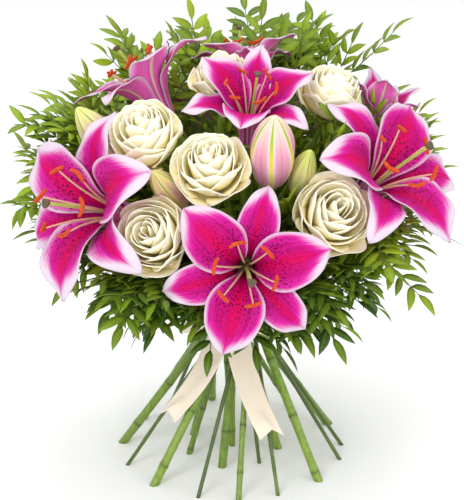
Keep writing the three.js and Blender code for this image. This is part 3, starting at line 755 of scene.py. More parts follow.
class BouquetLily(bpy.types.PropertyGroup):
    centre: colour_prop("Centre", "Crimson down the middle of a petal", (0.56, 0.0, 0.075))
    flesh: colour_prop("Flesh", "Magenta pink of a petal", (0.41, 0.0, 0.125))
    margin: colour_prop("Margin", "Almost white edge of a petal", (0.65, 0.55, 0.65))
    vein: colour_prop("Vein", "Lighter pink between the veins", (0.62, 0.02, 0.34))
    spot: colour_prop("Spot", "Dark raised spots", (0.10, 0.0, 0.035))
    outside: colour_prop("Outside", "Paler pink outside of a petal", (1.0, 0.19, 0.66))
    midrib: colour_prop("Midrib", "Cream rib along the outside", (0.90, 0.66, 0.50))
    rib: colour_prop("Bud rib", "Yellow ribs low on a closed bud", (0.76, 0.68, 0.05))
    rib_tip: colour_prop("Bud rib tip", "Green ribs near a closed bud's tip", (0.32, 0.45, 0.015))
    seam: colour_prop("Bud seam", "Where a bud's petals meet", (0.42, 0.16, 0.12))
    bud_bloom: colour_prop("Bud bloom", "Pale flesh beside a bud's ribs", (0.86, 0.74, 0.66))
    throat: colour_prop("Throat", "Green deep in the trumpet", (0.16, 0.30, 0.03))
    thickness: size_prop("Thickness", "Thickness of a petal in millimetres", 0.8, 0.3, 1.5)
    ruffle: size_prop("Ruffle", "Height of the waves along a margin in millimetres", 2.9, 0.0, 5.0)


class BouquetGreen(bpy.types.PropertyGroup):
    # The two leaf colours are mixed by each spray's tone, which is painted light and shade: lighter at the
    # top and rim, darker low and inside.
    light: colour_prop("Light leaf", "Fresh leaves at the rim", (0.28, 0.40, 0.016))
    dark: colour_prop("Dark leaf", "Older leaves", (0.038, 0.10, 0.014))
    stem: colour_prop("Stem", "Flower stems", (0.19, 0.30, 0.028))
    stem_dark: colour_prop("Stem streak", "Darker streaks along a stem", (0.03, 0.07, 0.008))
    yellowed: colour_prop("Yellowed", "Where a stem is older", (0.24, 0.29, 0.06))
    twig: colour_prop("Twig", "Woody twigs of the leafy stems", (0.075, 0.12, 0.015))
    cut: colour_prop("Cut end", "Pale flesh where a stem was cut", (0.52, 0.55, 0.26))
    pairs: count_prop("Leaf pairs", "Pairs of leaflets on a spray", 5, 3, 7)
    side_sprays: count_prop("Side sprays", "Pairs of sprays that fork from each main one", 4, 1, 6)
    added: count_prop("Added sprays", "Sprays on each stem beside those of the frame", 10, 0, 20)


class BouquetRibbon(bpy.types.PropertyGroup):
    cloth: colour_prop("Cloth", "Cream satin", (0.88, 0.76, 0.61))
    edge: colour_prop("Edge", "The woven edge", (0.92, 0.84, 0.74))
    thickness: size_prop("Thickness", "Thickness of the ribbon in millimetres", 0.35, 0.1, 1.0)


class BouquetStage(bpy.types.PropertyGroup):
    floor: colour_prop("Floor", "Plain pale floor", (0.97, 0.97, 0.97))
    elevation: FloatProperty(
        name="Elevation", description="Height of the camera over the horizon, in radians",
        default=radians(20), subtype="ANGLE", unit="ROTATION",
    )
    distance: metre_prop("Distance", "From the camera to the bouquet", 1.5)
    target: metre_prop("Target height", "What the camera points at", 0.218)


# Roses
# For each layer: how many petals, the radius and height of a petal's root, belly and rim, how far its rim
# curls, half the angle that it takes at its root and rim, and how far the layer is turned.
ROSE_LAYERS = [
    (5, (10.2, 4.6), (33, 9), (31, 37), 7.2, (24, 47), 0),
    (5, (9.4, 4.6), (31.5, 12), (27.4, 42.8), 6.0, (26, 52), 36),
    (4, (8.8, 4.4), (29.5, 14), (24.4, 46.4), 5.0, (32, 62), 10),
    (4, (8.2, 4.2), (27, 16), (21.2, 49.4), 4.4, (36, 68), 58),
    (3, (7.4, 4), (24, 18), (18, 51.8), 3.8, (44, 84), 20),
    (3, (6.6, 4), (21, 20), (15, 53.6), 3.2, (46, 86), 78),
    (3, (5.8, 4), (17.6, 22), (12, 54.8), 2.8, (46, 90), 5),
    (3, (5, 4), (13.6, 24), (9, 55.4), 2.2, (46, 94), 66),
    (2, (4, 4), (9.5, 26), (6.2, 55.6), 1.4, (64, 112), 85),
    (2, (3, 4), (6, 27), (3.4, 55), 0.8, (76, 130), 30),
]
ROSE_TUCK = 1.9
ROSE_MIDDLE = 24
ROSE_GRID = (12, 11)


def rose_petal(matrix, form, around, tone, draw):
    """A petal of a layer's form, cupped, tucked under its neighbour and rolled out at its rim."""
    bm = new_mesh()
    look = bpy.context.scene.bouquet_rose
    _, root, belly, rim, curl, spread, _ = form
    curl *= look.curl * draw(0.7, 1.3)
    phase, other, rise, slant = draw(0, 6.28), draw(0, 6.28), draw(-2.4, 1.2), draw(-2.4, 2.4)
    wide = draw(0.94, 1.05)
    open_share = min(1, rim[0] / 22)
    tuck_by = min(ROSE_TUCK, 0.1 * rim[0] + 0.3)
    ruffle = look.ruffle * open_share

    def place(v, u):
        r, z = (
            (1 - u) ** 2 * root[i] + 2 * u * (1 - u) * belly[i] + u * u * rim[i] for i in (0, 1)
        )
        v = math.sin(1.4 * v) / math.sin(1.4)
        round_off = 1 - math.sqrt(max(0, 1 - v * v))
        narrow = 1 - lerp(0.1, 0.2, open_share) * smooth((u - 0.55) / 0.45) ** 2
        angle = radians(around + lerp(*spread, smooth(2 * u)) * narrow * v)
        tuck = tuck_by * v * smooth(2 * u)
        lean = radians(60) * (1 - u)
        roll = smooth((u - 0.6) / 0.4)
        sides = 0.62 + 0.55 * abs(v) ** 1.5 * (1 - 0.8 * v**8)
        wave = ruffle * roll * math.sin(3.6 * v + phase)
        out = r * lerp(1, wide, u) + tuck * math.cos(lean) + curl * roll * sides + 0.6 * wave
        up = z * (1 - (0.1 * v * v + lerp(0.42, 0.25, open_share) * round_off) * u) - tuck * math.sin(lean)
        up += (rise + slant * v) * u - 0.8 * curl * roll**3 * sides
        up += 0.8 * ruffle * roll * math.sin(2.4 * v + other)
        up += 2.6 * open_share * roll * math.exp(-((v / 0.25) ** 2))
        return matrix @ polar(out, angle, up)

    sheet(bm, *ROSE_GRID, tone, place)
    return bm


def lean_back(place, angle):
    """The turn of a rose's heart in its cup, by an angle towards the vertical."""
    middle = Matrix.Translation(on_axis(place, ROSE_MIDDLE))
    axis = beside(place["azimuth"], 1, 0, 0)
    return middle @ Matrix.Rotation(radians(-angle), 4, axis) @ middle.inverted()


class BOUQUET_OT_roses(bpy.types.Operator):
    """Builds the petals of every rose"""

    bl_idname = "bouquet.roses"
    bl_label = "Roses"

    def execute(self, context):
        petal = material("Rose petal", rose_material)
        thickness = context.scene.bouquet_rose.thickness
        for seed, (name, place) in enumerate(ROSES.items()):
            draw = random.Random(seed + 11).uniform
            matrix = standing(place, place["size"])
            parts = Parts()
            for i, form in enumerate(ROSE_LAYERS):
                upright = place.get("upright", 0) * i / (len(ROSE_LAYERS) - 1)
                set_upright = lean_back(place, upright) @ matrix
                for k in range(form[0]):
                    around = form[-1] + 360 * k / form[0] + draw(-12, 12)
                    tone = (i + draw(0.05, 0.95)) / len(ROSE_LAYERS)
                    parts.add(rose_petal(set_upright, form, around, tone, draw))
            add_piece(parts.join(), f"{name}_petals", [petal], f"{name}_bloom", thickness)
        return {"FINISHED"}


# Lilies
TEPAL_LENGTH = 104
TEPAL_HALF_WIDTH = {"inner": 25, "outer": 17.5}
TEPAL_ROOT = {"inner": 4.6, "outer": 6.8}
TEPAL_WRAP = {"inner": 44, "outer": 42}
TEPAL_REFLEX = 17
TEPAL_BENDS = range(-56, 57, 8)
WIDEST = 0.55
TEPAL_GRID = (16, 34)
PALENESS = (0.35, 1)
# Where the margin starts, how wide the centre is, how far the tip fades and how strong the spots are
TEPAL_LOOKS = {"inner": (0.76, 0.55, 1.0, 1.0), "outer": (0.58, 0.4, 1.05, 0.8)}


def tepal_spine(u, open_angle):
    """A tepal's midline in the plane of the flower's axis: distance out, height and slope angle."""
    steps = 40

    def slope(s):
        return radians(lerp(9, open_angle, smooth((s - 0.12) / 0.88)))

    r = z = 0.0
    i = 0
    while i < steps * u - 1e-9:
        ds = min(1, steps * u - i) / steps
        a = slope(i / steps + ds / 2)
        r += TEPAL_LENGTH * ds * math.sin(a)
        z += TEPAL_LENGTH * ds * math.cos(a)
        i += 1
    return r, z, slope(u)


def tepal_half_width(u, widest):
    if u < WIDEST:
        return widest * lerp(0.25, 1, smooth(u / WIDEST))
    return widest * max(0.0, math.cos((u - WIDEST) / (1 - WIDEST) * (math.pi / 2))) ** 0.68


def tepal_point(whorl, around, spine, u, v, ruffle=0.0):
    """A point on a tepal, as the frame has it, with its margin lifted by the ruffle."""
    spine_r, spine_z, angle = spine
    half = tepal_half_width(u, TEPAL_HALF_WIDTH[whorl])
    lift = 0.3 * half * v * v * (1 - 0.6 * u) * smooth(2 * u - 0.3) + ruffle
    r = TEPAL_ROOT[whorl] + spine_r - lift * math.cos(angle)
    z = 3 + spine_z + lift * math.sin(angle)
    flat = smooth((u - 0.2) / 0.6)
    wrap = min(radians(TEPAL_WRAP[whorl]), half / r) * v
    out = lerp(r * math.cos(wrap), r, flat)
    side = lerp(r * math.sin(wrap), half * v, flat)
    return beside(around, side, out, z)


def tepal(matrix, whorl, around, opening, paleness, draw):
    """A lily's petal as the frame has it, with ruffled margins, a grooved midrib and a curled tip."""
    bm = new_mesh()
    look = bpy.context.scene.bouquet_lily
    phases = [draw(0, 6.28), draw(0, 6.28)]
    waves, tone, deep = draw(2.4, 3.8), draw(*paleness), look.ruffle * draw(0.6, 1.25)
    curl, behind = draw(2.5, 6), 1.4 if whorl == "outer" else -0.5
    spines = {}

    def place(v, u):
        key = round(u, 4)
        if key not in spines:
            spines[key] = tepal_spine(u, opening)
        along = smooth((u - 0.3) / 0.35) * (1 - 0.55 * smooth((u - 0.8) / 0.2))
        wave = math.sin(2 * math.pi * waves * u + phases[v > 0])
        lift = deep * abs(v) ** 3 * along * wave
        lift -= 1.1 * math.exp(-((v / 0.12) ** 2)) * smooth(4 * u) * (1 - u)
        lift -= curl * smooth((u - 0.7) / 0.3) ** 2 + 1.8 * v * v * smooth((u - 0.55) / 0.45)
        lift -= behind * smooth((u - 0.1) / 0.3)
        return matrix @ tepal_point(whorl, around, spines[key], u, v, lift)

    verts = sheet(bm, *TEPAL_GRID, tone, place)
    paint(verts, 0 if whorl == "inner" else 2)
    bmesh.ops.remove_doubles(bm, verts=verts, dist=0.01)
    return bm


def built_bends(name, place, matrix):
    """Each tepal's whorl, place round the flower and opening angle, read from its tip in the frame."""
    corners = Corners(f"{name}_bloom")
    for k in range(6):
        whorl = "outer" if k % 2 else "inner"
        opening = place["open"] + (place.get("reflex", TEPAL_REFLEX) if k % 2 else 0)
        angles = [opening + bend for bend in TEPAL_BENDS]
        tips = [matrix @ tepal_point(whorl, 60 * k, tepal_spine(1, angle), 1, 0) for angle in angles]
        yield whorl, 60 * k, corners.nearest(list(zip(angles, tips)), 1.0) or opening


class BOUQUET_OT_lilies(bpy.types.Operator):
    """Builds the six petals of every open lily"""

    bl_idname = "bouquet.lilies"
    bl_label = "Lilies"

    def execute(self, context):
        outside = material("Lily petal outside", lily_back_material)
        materials = [
            material("Lily inner petal", lily_front_material, *TEPAL_LOOKS["inner"]),
            outside,
            material("Lily outer petal", lily_front_material, *TEPAL_LOOKS["outer"]),
            outside,
        ]
        thickness = context.scene.bouquet_lily.thickness
        for seed, (name, place) in enumerate({**LILIES, **HALF_OPEN}.items()):
            draw = random.Random(seed + 101).uniform
            matrix = standing(place, place["size"])
            parts = Parts()
            for whorl, around, opening in built_bends(name, place, matrix):
                paleness = place.get("paleness", PALENESS)
                parts.add(tepal(matrix, whorl, around, opening, paleness, draw))
            add_piece(parts.join(), f"{name}_petals", materials, f"{name}_bloom", thickness)
        return {"FINISHED"}


# Stamens
RECEPTACLE = [(0, 0), (4.3, 0), (7.2, 1.4), (9, 3.4), (8.6, 5.4), (5, 6.8), (0, 7)]
RECEPTACLE_TOP = RECEPTACLE[-1][1]
ANTHER = [(-7.2, 0.3), (-6.4, 1.2), (-4, 1.65), (0, 1.6), (4, 1.65), (6.4, 1.2), (7.2, 0.3)]
STAMEN_LOOKS = {  # colour, scale and contrast of the grain, roughness, and depth of the grain
    "Filament": ((0.66, 0.42, 0.26, 1), 500.0, 0.2, 0.45, 0.0003),
    "Anther": ((0.52, 0.06, 0.01, 1), 1500.0, 0.5, 0.85, 0.0005),
    "Pistil": ((0.40, 0.44, 0.10, 1), 300.0, 0.2, 0.4, 0.0003),
    "Stigma": ((0.10, 0.07, 0.035, 1), 900.0, 0.3, 0.35, 0.0003),
}
NECTARY = [(0, 0), (3.2, 0), (3.6, 1.4), (3, 3), (0, 3.2)]
FILAMENT_TOP = (25, 75)  # distance out and height
STIGMA = [(0, -2.4), (1.7, -2.2), (3.3, -0.4), (3.5, 1.2), (2.4, 2.3), (0.9, 2.0), (0, 1.7)]


def bent_line(a, b, c, steps):
    """Points along the quadratic curve from a to c that b pulls at."""
    a, b, c = Vector(a), Vector(b), Vector(c)
    return [a * (1 - t) ** 2 + b * (2 * t * (1 - t)) + c * (t * t) for t in shares(steps)]


def stamen_set(bm, matrix, draw):
    """Six filaments with their anthers, and the pistil with its lobed stigma and nectary."""
    foot = RECEPTACLE_TOP + 0.45

    def tube(points, radii, sides, index):
        made = sweep(bm, points, radii, sides)
        bmesh.ops.transform(bm, matrix=matrix, verts=made)
        paint(made, index)

    for k in range(6):
        a = radians(60 * k + 30)
        x, y = math.cos(a), math.sin(a)
        top = Vector((FILAMENT_TOP[0] * x, FILAMENT_TOP[0] * y, FILAMENT_TOP[1]))
        line = bent_line((2.2 * x, 2.2 * y, foot), (6 * x, 6 * y, 48), top, 10)
        tube(line, [lerp(1.25, 0.55, u) for u in shares(10)], 7, 0)
        swing = Matrix.Rotation(a, 3, "Z") @ Matrix.Rotation(0.35 + draw(-0.35, 0.35), 3, "X")
        bow = draw(0.8, 1.9)
        points = [top + swing @ Vector((-bow * (s / 7) ** 2, s, bow * (s / 7) ** 2)) for s, _ in ANTHER]
        tube(points, [r for _, r in ANTHER], 8, 1)
    style = bent_line((0, 0, foot), (0, 2, 50), (3, 6, 92), 12)
    tube(style, [lerp(2.6, 1.35, smooth(2.2 * u)) for u in shares(12)], 9, 2)
    lobed = turned(bm, STIGMA, 18, Matrix.Translation(style[-1]))
    for vert in lobed:
        flat = vert.co - style[-1]
        lobe = 1 + 0.16 * math.cos(3 * math.atan2(flat.y, flat.x))
        vert.co = style[-1] + Vector((flat.x * lobe, flat.y * lobe, flat.z))
    bmesh.ops.transform(bm, matrix=matrix, verts=lobed)
    paint(lobed, 3)
    nectary = [(r, foot + z) for r, z in NECTARY]
    paint(turned(bm, nectary, 12, matrix), 2)


class BOUQUET_OT_stamens(bpy.types.Operator):
    """Builds the filaments, anthers and pistil of every open lily"""

    bl_idname = "bouquet.stamens"
    bl_label = "Stamens"

    def execute(self, context):
        materials = [material(name, plain_tissue, *look) for name, look in STAMEN_LOOKS.items()]
        for seed, (name, place) in enumerate(LILIES.items()):
            bm = new_mesh()
            stamen_set(bm, standing(place, place["size"]), random.Random(seed + 31).uniform)
            add_piece(bm, f"{name}_filaments", materials, f"{name}_stamens")
        return {"FINISHED"}


# Buds
BUD_SHAPE = [
    (0, 0.16), (0.03, 0.38), (0.09, 0.57), (0.17, 0.74), (0.26, 0.87), (0.36, 0.96), (0.46, 1.0),
    (0.57, 0.975), (0.68, 0.88), (0.78, 0.73), (0.86, 0.56), (0.92, 0.40), (0.965, 0.25), (0.99, 0.12),
]
BUD_SIDES = 72
BUD_LOOKS = {  # flesh and tip
    "bud_middle": ((0.76, 0.28, 0.44, 1), (0.84, 0.72, 0.50, 1)),
    "bud_left": ((0.86, 0.54, 0.36, 1), (0.74, 0.72, 0.14, 1)),
    "bud_right": ((0.76, 0.80, 0.26, 1), (0.56, 0.70, 0.04, 1)),
    "bud_top_left": ((0.90, 0.68, 0.50, 1), (0.66, 0.76, 0.08, 1)),
}


def bud(bm, place):
    """A closed bud with six ribs, a seam between each two, and a slight twist."""
    length, radius = place["length"], place["radius"]
    profile = [(0, 0)] + [(r * radius, t * length) for t, r in BUD_SHAPE] + [(0, length)]
    made = turned(bm, profile, BUD_SIDES, Matrix.Identity(4))
    layer = pattern_of(bm)
    for vert in made:
        x, y, z = vert.co
        along = z / length
        around = math.atan2(y, x) + 0.25 * along
        ribs = math.cos(6 * around)
        seam = math.exp(-(((math.degrees(around) % 60 - 30) / 4) ** 2)) * math.sin(math.pi * along)
        swell = 1 + 0.045 * ribs - 0.06 * seam + 0.012 * math.cos(3 * around)
        vert.co = Vector((x * swell, y * swell, z))
        vert[layer] = (max(ribs, -1) if seam < 0.5 else -1, along, around / 3)
    bmesh.ops.transform(bm, matrix=standing(place), verts=made)


class BOUQUET_OT_buds(bpy.types.Operator):
    """Builds the closed lily buds"""

    bl_idname = "bouquet.buds"
    bl_label = "Buds"

    def execute(self, context):
        for name, place in BUDS.items():
            bm = new_mesh()
            bud(bm, place)
            skin = material(f"Skin of {name}", bud_material, *BUD_LOOKS[name])
            add_piece(bm, f"{name}_petals", [skin], f"{name}_bloom")
        return {"FINISHED"}


# Flower stems
STEM_SIDES = 14
BUD_NECK = {"from": 0.45, "straight": 0.25, "radius": 2.6}
NODE_SPACING = {"rose": 47, "centre": 47, "lily": 61}
NODE_SWELL = {"rose": 0.16, "centre": 0.16, "lily": 0.1}
SEPAL = (21.5, 3.1)  # length and half width
HIP = [(-6.5, 5.0), (-3.5, 6.9), (-1.2, 7.4), (-SEAT_GAP, 6.6)]  # height against the bloom, and radius
NODE_RINGS = (-3, -1.2, 0, 1.2, 3)


def stem_line(name, place, below, first_node):
    """Points along a whole stem, from under the floor to its bloom, closest together at its nodes."""
    curve = stem_curve(name, place, below)
    foot, bend = on_line(name, BELOW_FLOOR), on_line(name, CURVE_Z)
    straight = (bend - foot).length
    spacing = NODE_SPACING[kind_of(name)]
    nodes = [first_node + spacing * k for k in range(5) if first_node + spacing * k < straight - 6]
    count = round(straight / 8)
    runs = [straight * i / count for i in range(count)]
    runs = [run for run in runs if all(abs(run - at) > 4 for at in nodes)]
    runs += [at + off for at in nodes for off in NODE_RINGS]
    points = [foot.lerp(bend, run / straight) for run in sorted(runs)]
    return points + curve.points(round(curve.length / 6))


def stem_radii(name, points, first_node, draw):
    """A stem's radius at each point, swollen at its nodes, and how near each point is to one."""
    kind = kind_of(name)
    spacing = NODE_SPACING[kind]
    radii, marks, run = [], [], 0.0
    for i, point in enumerate(points):
        run += (point - points[i - 1]).length if i else 0
        off = (run - first_node + spacing / 2) % spacing - spacing / 2
        swell = NODE_SWELL[kind] * math.exp(-((off / 5) ** 2))
        radii.append(STEM_RADIUS[kind] * (0.97 + swell + draw(-0.015, 0.015)))
        marks.append(math.exp(-((off / 1.3) ** 2)) if point.z < CURVE_Z - 6 else 0)
    return radii, marks


def cut_level(bm, verts, index):
    """Cuts what was made flat on the surface that the bouquet stands on, and closes the cut."""
    edges = list({edge for vert in verts for edge in vert.link_edges})
    cut = bmesh.ops.bisect_plane(
        bm, geom=verts + edges + faces_of(verts), plane_co=(0, 0, 0), plane_no=(0, 0, 1), clear_inner=True
    )["geom_cut"]
    rim = [x for x in cut if isinstance(x, bmesh.types.BMEdge)]
    for face in bmesh.ops.edgeloop_fill(bm, edges=rim)["faces"]:
        face.material_index = index


def blade(bm, root, along, across, up, length, half_width, tone, droop, fold, rows=5, thickness=0.35):
    """A lance-shaped leaf, folded along its midrib and drooping to its tip."""

    def place(v, u):
        wide = half_width * (0.1 + 0.9 * math.sin(math.pi * min(1, u**0.85)) ** 0.8) * (1 - 0.88 * u**9)
        arch = 0.9 * math.sin(math.pi * u) - droop * u * u
        return root + along * (u * length) + across * (v * wide) + up * (arch + fold * abs(v) * wide)

    verts = sheet(bm, 2, rows, tone, place)
    bmesh.ops.solidify(bm, geom=faces_of(verts), thickness=thickness)


def calyx(bm, matrix, draw):
    """The five green sepals that turn back under a rose."""
    for k in range(5):
        turn = Matrix.Rotation(radians(72 * k + 36), 3, "Z")
        spin = matrix.to_3x3() @ turn
        drop = math.atan2(6, 20.6) + draw(-0.12, 0.12)
        along = spin @ Vector((math.cos(drop), 0, -math.sin(drop)))
        up = spin @ Vector((math.sin(drop), 0, math.cos(drop)))
        root = matrix @ (turn @ Vector((4.4, 0, -3)))
        across = spin @ Vector((0, 1, 0))
        blade(bm, root, along, across, up, *SEPAL, draw(0.3, 0.8), 3.0, 0.15, 8, 0.5)


class BOUQUET_OT_stems(bpy.types.Operator):
    """Builds the stems of the roses and lilies, with the rose hips and the stalks of the buds"""

    bl_idname = "bouquet.stems"
    bl_label = "Flower stems"

    def execute(self, context):
        green = context.scene.bouquet_green
        skin = material("Flower stem", stem_material, green.stem, green.stem_dark)
        cut = material("Cut end", plain_tissue, green.cut, *CUT_GRAIN)
        leaf = material("Sepal", green_material, green.light, green.dark)
        for seed, (name, place) in enumerate({**ROSES, **LILIES, **HALF_OPEN}.items()):
            draw = random.Random(seed + 301).uniform
            is_rose = name in ROSES
            first_node = 6 + draw(0, NODE_SPACING[kind_of(name)])
            points = stem_line(name, place, HIP_DEPTH if is_rose else SEAT_GAP, first_node)
            radii, marks = stem_radii(name, points, first_node, draw)
            if is_rose:
                points += [on_axis(place, z) for z, _ in HIP]
                radii += [r for _, r in HIP]
                marks += [0] * len(HIP)
            bm = new_mesh()
            verts = sweep(bm, points, radii, STEM_SIDES, draw(0, 1), marks)
            cut_level(bm, verts, 1)
            parts = Parts()
            parts.add(bm)
            for stalk in (stalk for stalk in BUDS.values() if stalk["on"] == name):
                bm = new_mesh()
                bud_stalk(bm, stem_curve(name, place, SEAT_GAP), stalk)
                parts.add(bm)
            bm = new_mesh()
            if is_rose:
                calyx(bm, standing(place), draw)
                paint(bm.verts, 2)
            else:
                turned(bm, RECEPTACLE, STEM_SIDES, standing(place, place["size"]))
            parts.add(bm)
            add_piece(parts.join(), f"{name}_stalk", [skin, cut, leaf], f"{name}_stem")
        return {"FINISHED"}


def bud_stalk(bm, curve, place):
    """The stalk of a bud, from partway up its lily's stem."""
    t = (BUD_NECK["from"] - BUD_NECK["straight"]) / (1 - BUD_NECK["straight"])
    start, heading = curve.at(t), curve.tangent(t)
    neck = bent_to(start, heading, place, SEAT_GAP, *HANDLES["stalk"])
    radii = [BUD_NECK["radius"] * (1 + 0.35 * smooth((u - 0.85) / 0.15)) for u in shares(16)]
    sweep(bm, neck.points(16), radii, 10)


# Greenery
RIB_HALF_WIDTH = 1.2
LEAFLET = {"length": 25, "half_width": 4.6, "spread": 52, "droop": 2}
LEAFLET_STEP = 13
LEAFLET_ROLLS = [0, 24, -24, 48, -48, 75, -75]
SPRAY_SHIFTS = [
    (0, 0), (6, 0), (-6, 0), (0, 12), (0, -12), (7, 10), (-7, 10), (7, -10), (-7, -10), (13, 0), (-13, 0),
    (0, 24), (0, -24),
]
FRAME_PAIRS = 3
SPRAY_SPACING = 7
SPRAY_ROOT_DEPTH = 4
# Each stem's sprays: azimuth, distance out and height of the tip, and how steeply it ends.
SPRAYS = {
    "green_front_left": [
        (-120, 142, 184, -30), (-142, 150, 206, -24), (-100, 118, 160, -40), (-156, 172, 228, -12),
    ],
    "green_front_right": [
        (-62, 142, 182, -32), (-42, 158, 206, -22), (-80, 122, 166, -42), (-53, 138, 366, 72),
    ],
    "green_right": [(-6, 196, 306, 20), (-24, 186, 250, -5), (8, 186, 352, 45), (12, 176, 226, -15)],
    "green_back_right": [(42, 190, 312, 20), (30, 138, 412, 62), (54, 164, 236, -10), (22, 194, 276, 5)],
    "green_back": [(88, 188, 304, 20), (68, 176, 342, 40), (78, 98, 432, 68), (96, 158, 232, -12)],
    "green_back_left": [(128, 190, 312, 20), (116, 92, 434, 70), (142, 166, 240, -10), (110, 186, 276, 5)],
    "green_left_high": [(158, 134, 414, 58), (148, 178, 352, 38), (177, 176, 364, 42)],
    "green_left": [(174, 196, 306, 20), (-168, 190, 278, 5), (162, 174, 236, -10), (-174, 164, 218, -18)],
}
# The leaves' outline where the scene adds sprays: height, how far out the tips lie and how steeply they end
OUTLINE = [
    (168, 120, -42), (190, 148, -32), (210, 170, -24), (235, 190, -12), (262, 200, -4), (306, 203, 20),
    (352, 186, 42), (392, 152, 56), (420, 118, 64), (438, 84, 72),
]
# Where each stem's added sprays go: azimuth and how far to each side of it, and the heights between
SECTORS = {
    "green_front_left": (-128, 34, 168, 232),
    "green_front_right": (-60, 32, 168, 232),
    "green_right": (-6, 28, 205, 350),
    "green_back_right": (34, 24, 215, 425),
    "green_back": (82, 24, 215, 436),
    "green_back_left": (122, 24, 215, 436),
    "green_left_high": (156, 26, 300, 420),
    "green_left": (-174, 30, 190, 345),
}
BOUQUET_MIDDLE = Vector((0, 0, 200))
BLOOM_PIECES = ("_petals", "_filaments")
LEAF_CLEARANCE = 1.2
TWIG_CLEARANCE = 2.2
SHADE_DEPTH = 45  # a leaf less than this far outside a bloom would hide it
ATTEMPTS = 8
TWIG_MARKS = [0.3, 0.45, 0.6, 0.75, 0.88, 1.0]  # the shares of a twig that are tested


def spray_curve(start, direction, azimuth, out, z, rise):
    """The route of a spray, from its stem to a tip at this azimuth, distance out and height."""
    tip = beside(azimuth, 0, out, z)
    end = facing(azimuth, 90 - rise)
    reach = (tip - start).length
    return Curve(start, start + direction * (0.3 * reach), tip - end * (0.4 * reach), tip)


class Rib:
    """The middle line of a spray at a distance from its tip, with its own directions there."""

    def __init__(self, curve, from_tip):
        t = curve.share(1 - from_tip / curve.length)
        self.point, self.forward = curve.at(t), curve.tangent(t)
        away = Vector((self.point.x, self.point.y, 0)).normalized()
        self.side = self.forward.cross(Vector((0, 0, 1)) - away * 0.5).normalized()
        self.up = self.side.cross(self.forward)

    def leaflet(self, hand, roll, spread=LEAFLET["spread"]):
        """Root, directions along and across, and up, of a leaflet on its hand rolled round the rib."""
        turn = Matrix.Rotation(radians(roll * (hand or 1)), 3, self.forward)
        across, normal = turn @ self.side, turn @ self.up
        if hand == 0:
            return self.point, self.forward, across, normal
        a = radians(spread)
        along = self.forward * math.cos(a) + across * (hand * math.sin(a))
        return self.point + self.side * (hand * RIB_HALF_WIDTH * 0.6), along, normal.cross(along), normal


class Blooms:
    """The flowers as one surface, to keep leaves out of them and from hiding them."""

    def __init__(self):
        points, faces = [], []
        graph = bpy.context.evaluated_depsgraph_get()
        for piece in bpy.context.scene.objects:
            if piece.name.endswith(BLOOM_PIECES):
                mesh = piece.evaluated_get(graph).data
                first = len(points)
                points += [vertex.co / MM for vertex in mesh.vertices]
                faces += [[first + i for i in polygon.vertices] for polygon in mesh.polygons]
        self.tree = BVHTree.FromPolygons(points, faces)

    def is_clear(self, point, gap):
        return self.tree.find_nearest(point, gap)[0] is None

    def hides(self, point):
        inward = (BOUQUET_MIDDLE - point).normalized()
        return self.tree.ray_cast(point, inward, SHADE_DEPTH)[0] is not None

    def is_open(self, a, b):
        step = b - a
        return self.tree.ray_cast(a, step.normalized(), step.length)[0] is None

    def leave(self, marks, gap, steps, shy):
        """True where the marks are clear of the flowers, no step crosses one and no shy mark hides one."""
        return (
            all(in_bounds(mark) and self.is_clear(mark, gap) for mark in marks)
            and all(self.is_open(a, b) for a, b in steps)
            and not any(self.hides(mark) for mark in shy)
        )


LOW, HIGH = FRAME_LOW / MM, FRAME_HIGH / MM
EDGE = 1.0
LEAVES_FROM = 100  # no leaf hangs lower than this
RIBBON_WINDOW = (-62, 40, 180)  # between these widths in front, and under this height, the ribbon shows


def in_bounds(point):
    left, right, top = RIBBON_WINDOW
    before_ribbon = left < point.x < right and point.y < 0 and point.z < top
    inside = all(LOW[i] - EDGE < point[i] < HIGH[i] + EDGE for i in range(3))
    return inside and point.z > LEAVES_FROM and not before_ribbon


def outline_at(z):
    """How far out the leaves reach at a height, and how steeply a twig ends there."""
    for (low, a, rise), (high, b, to_rise) in zip(OUTLINE, OUTLINE[1:]):
        if z <= high:
            t = (z - low) / (high - low)
            return lerp(a, b, t), lerp(rise, to_rise, t)
    return OUTLINE[-1][1:]


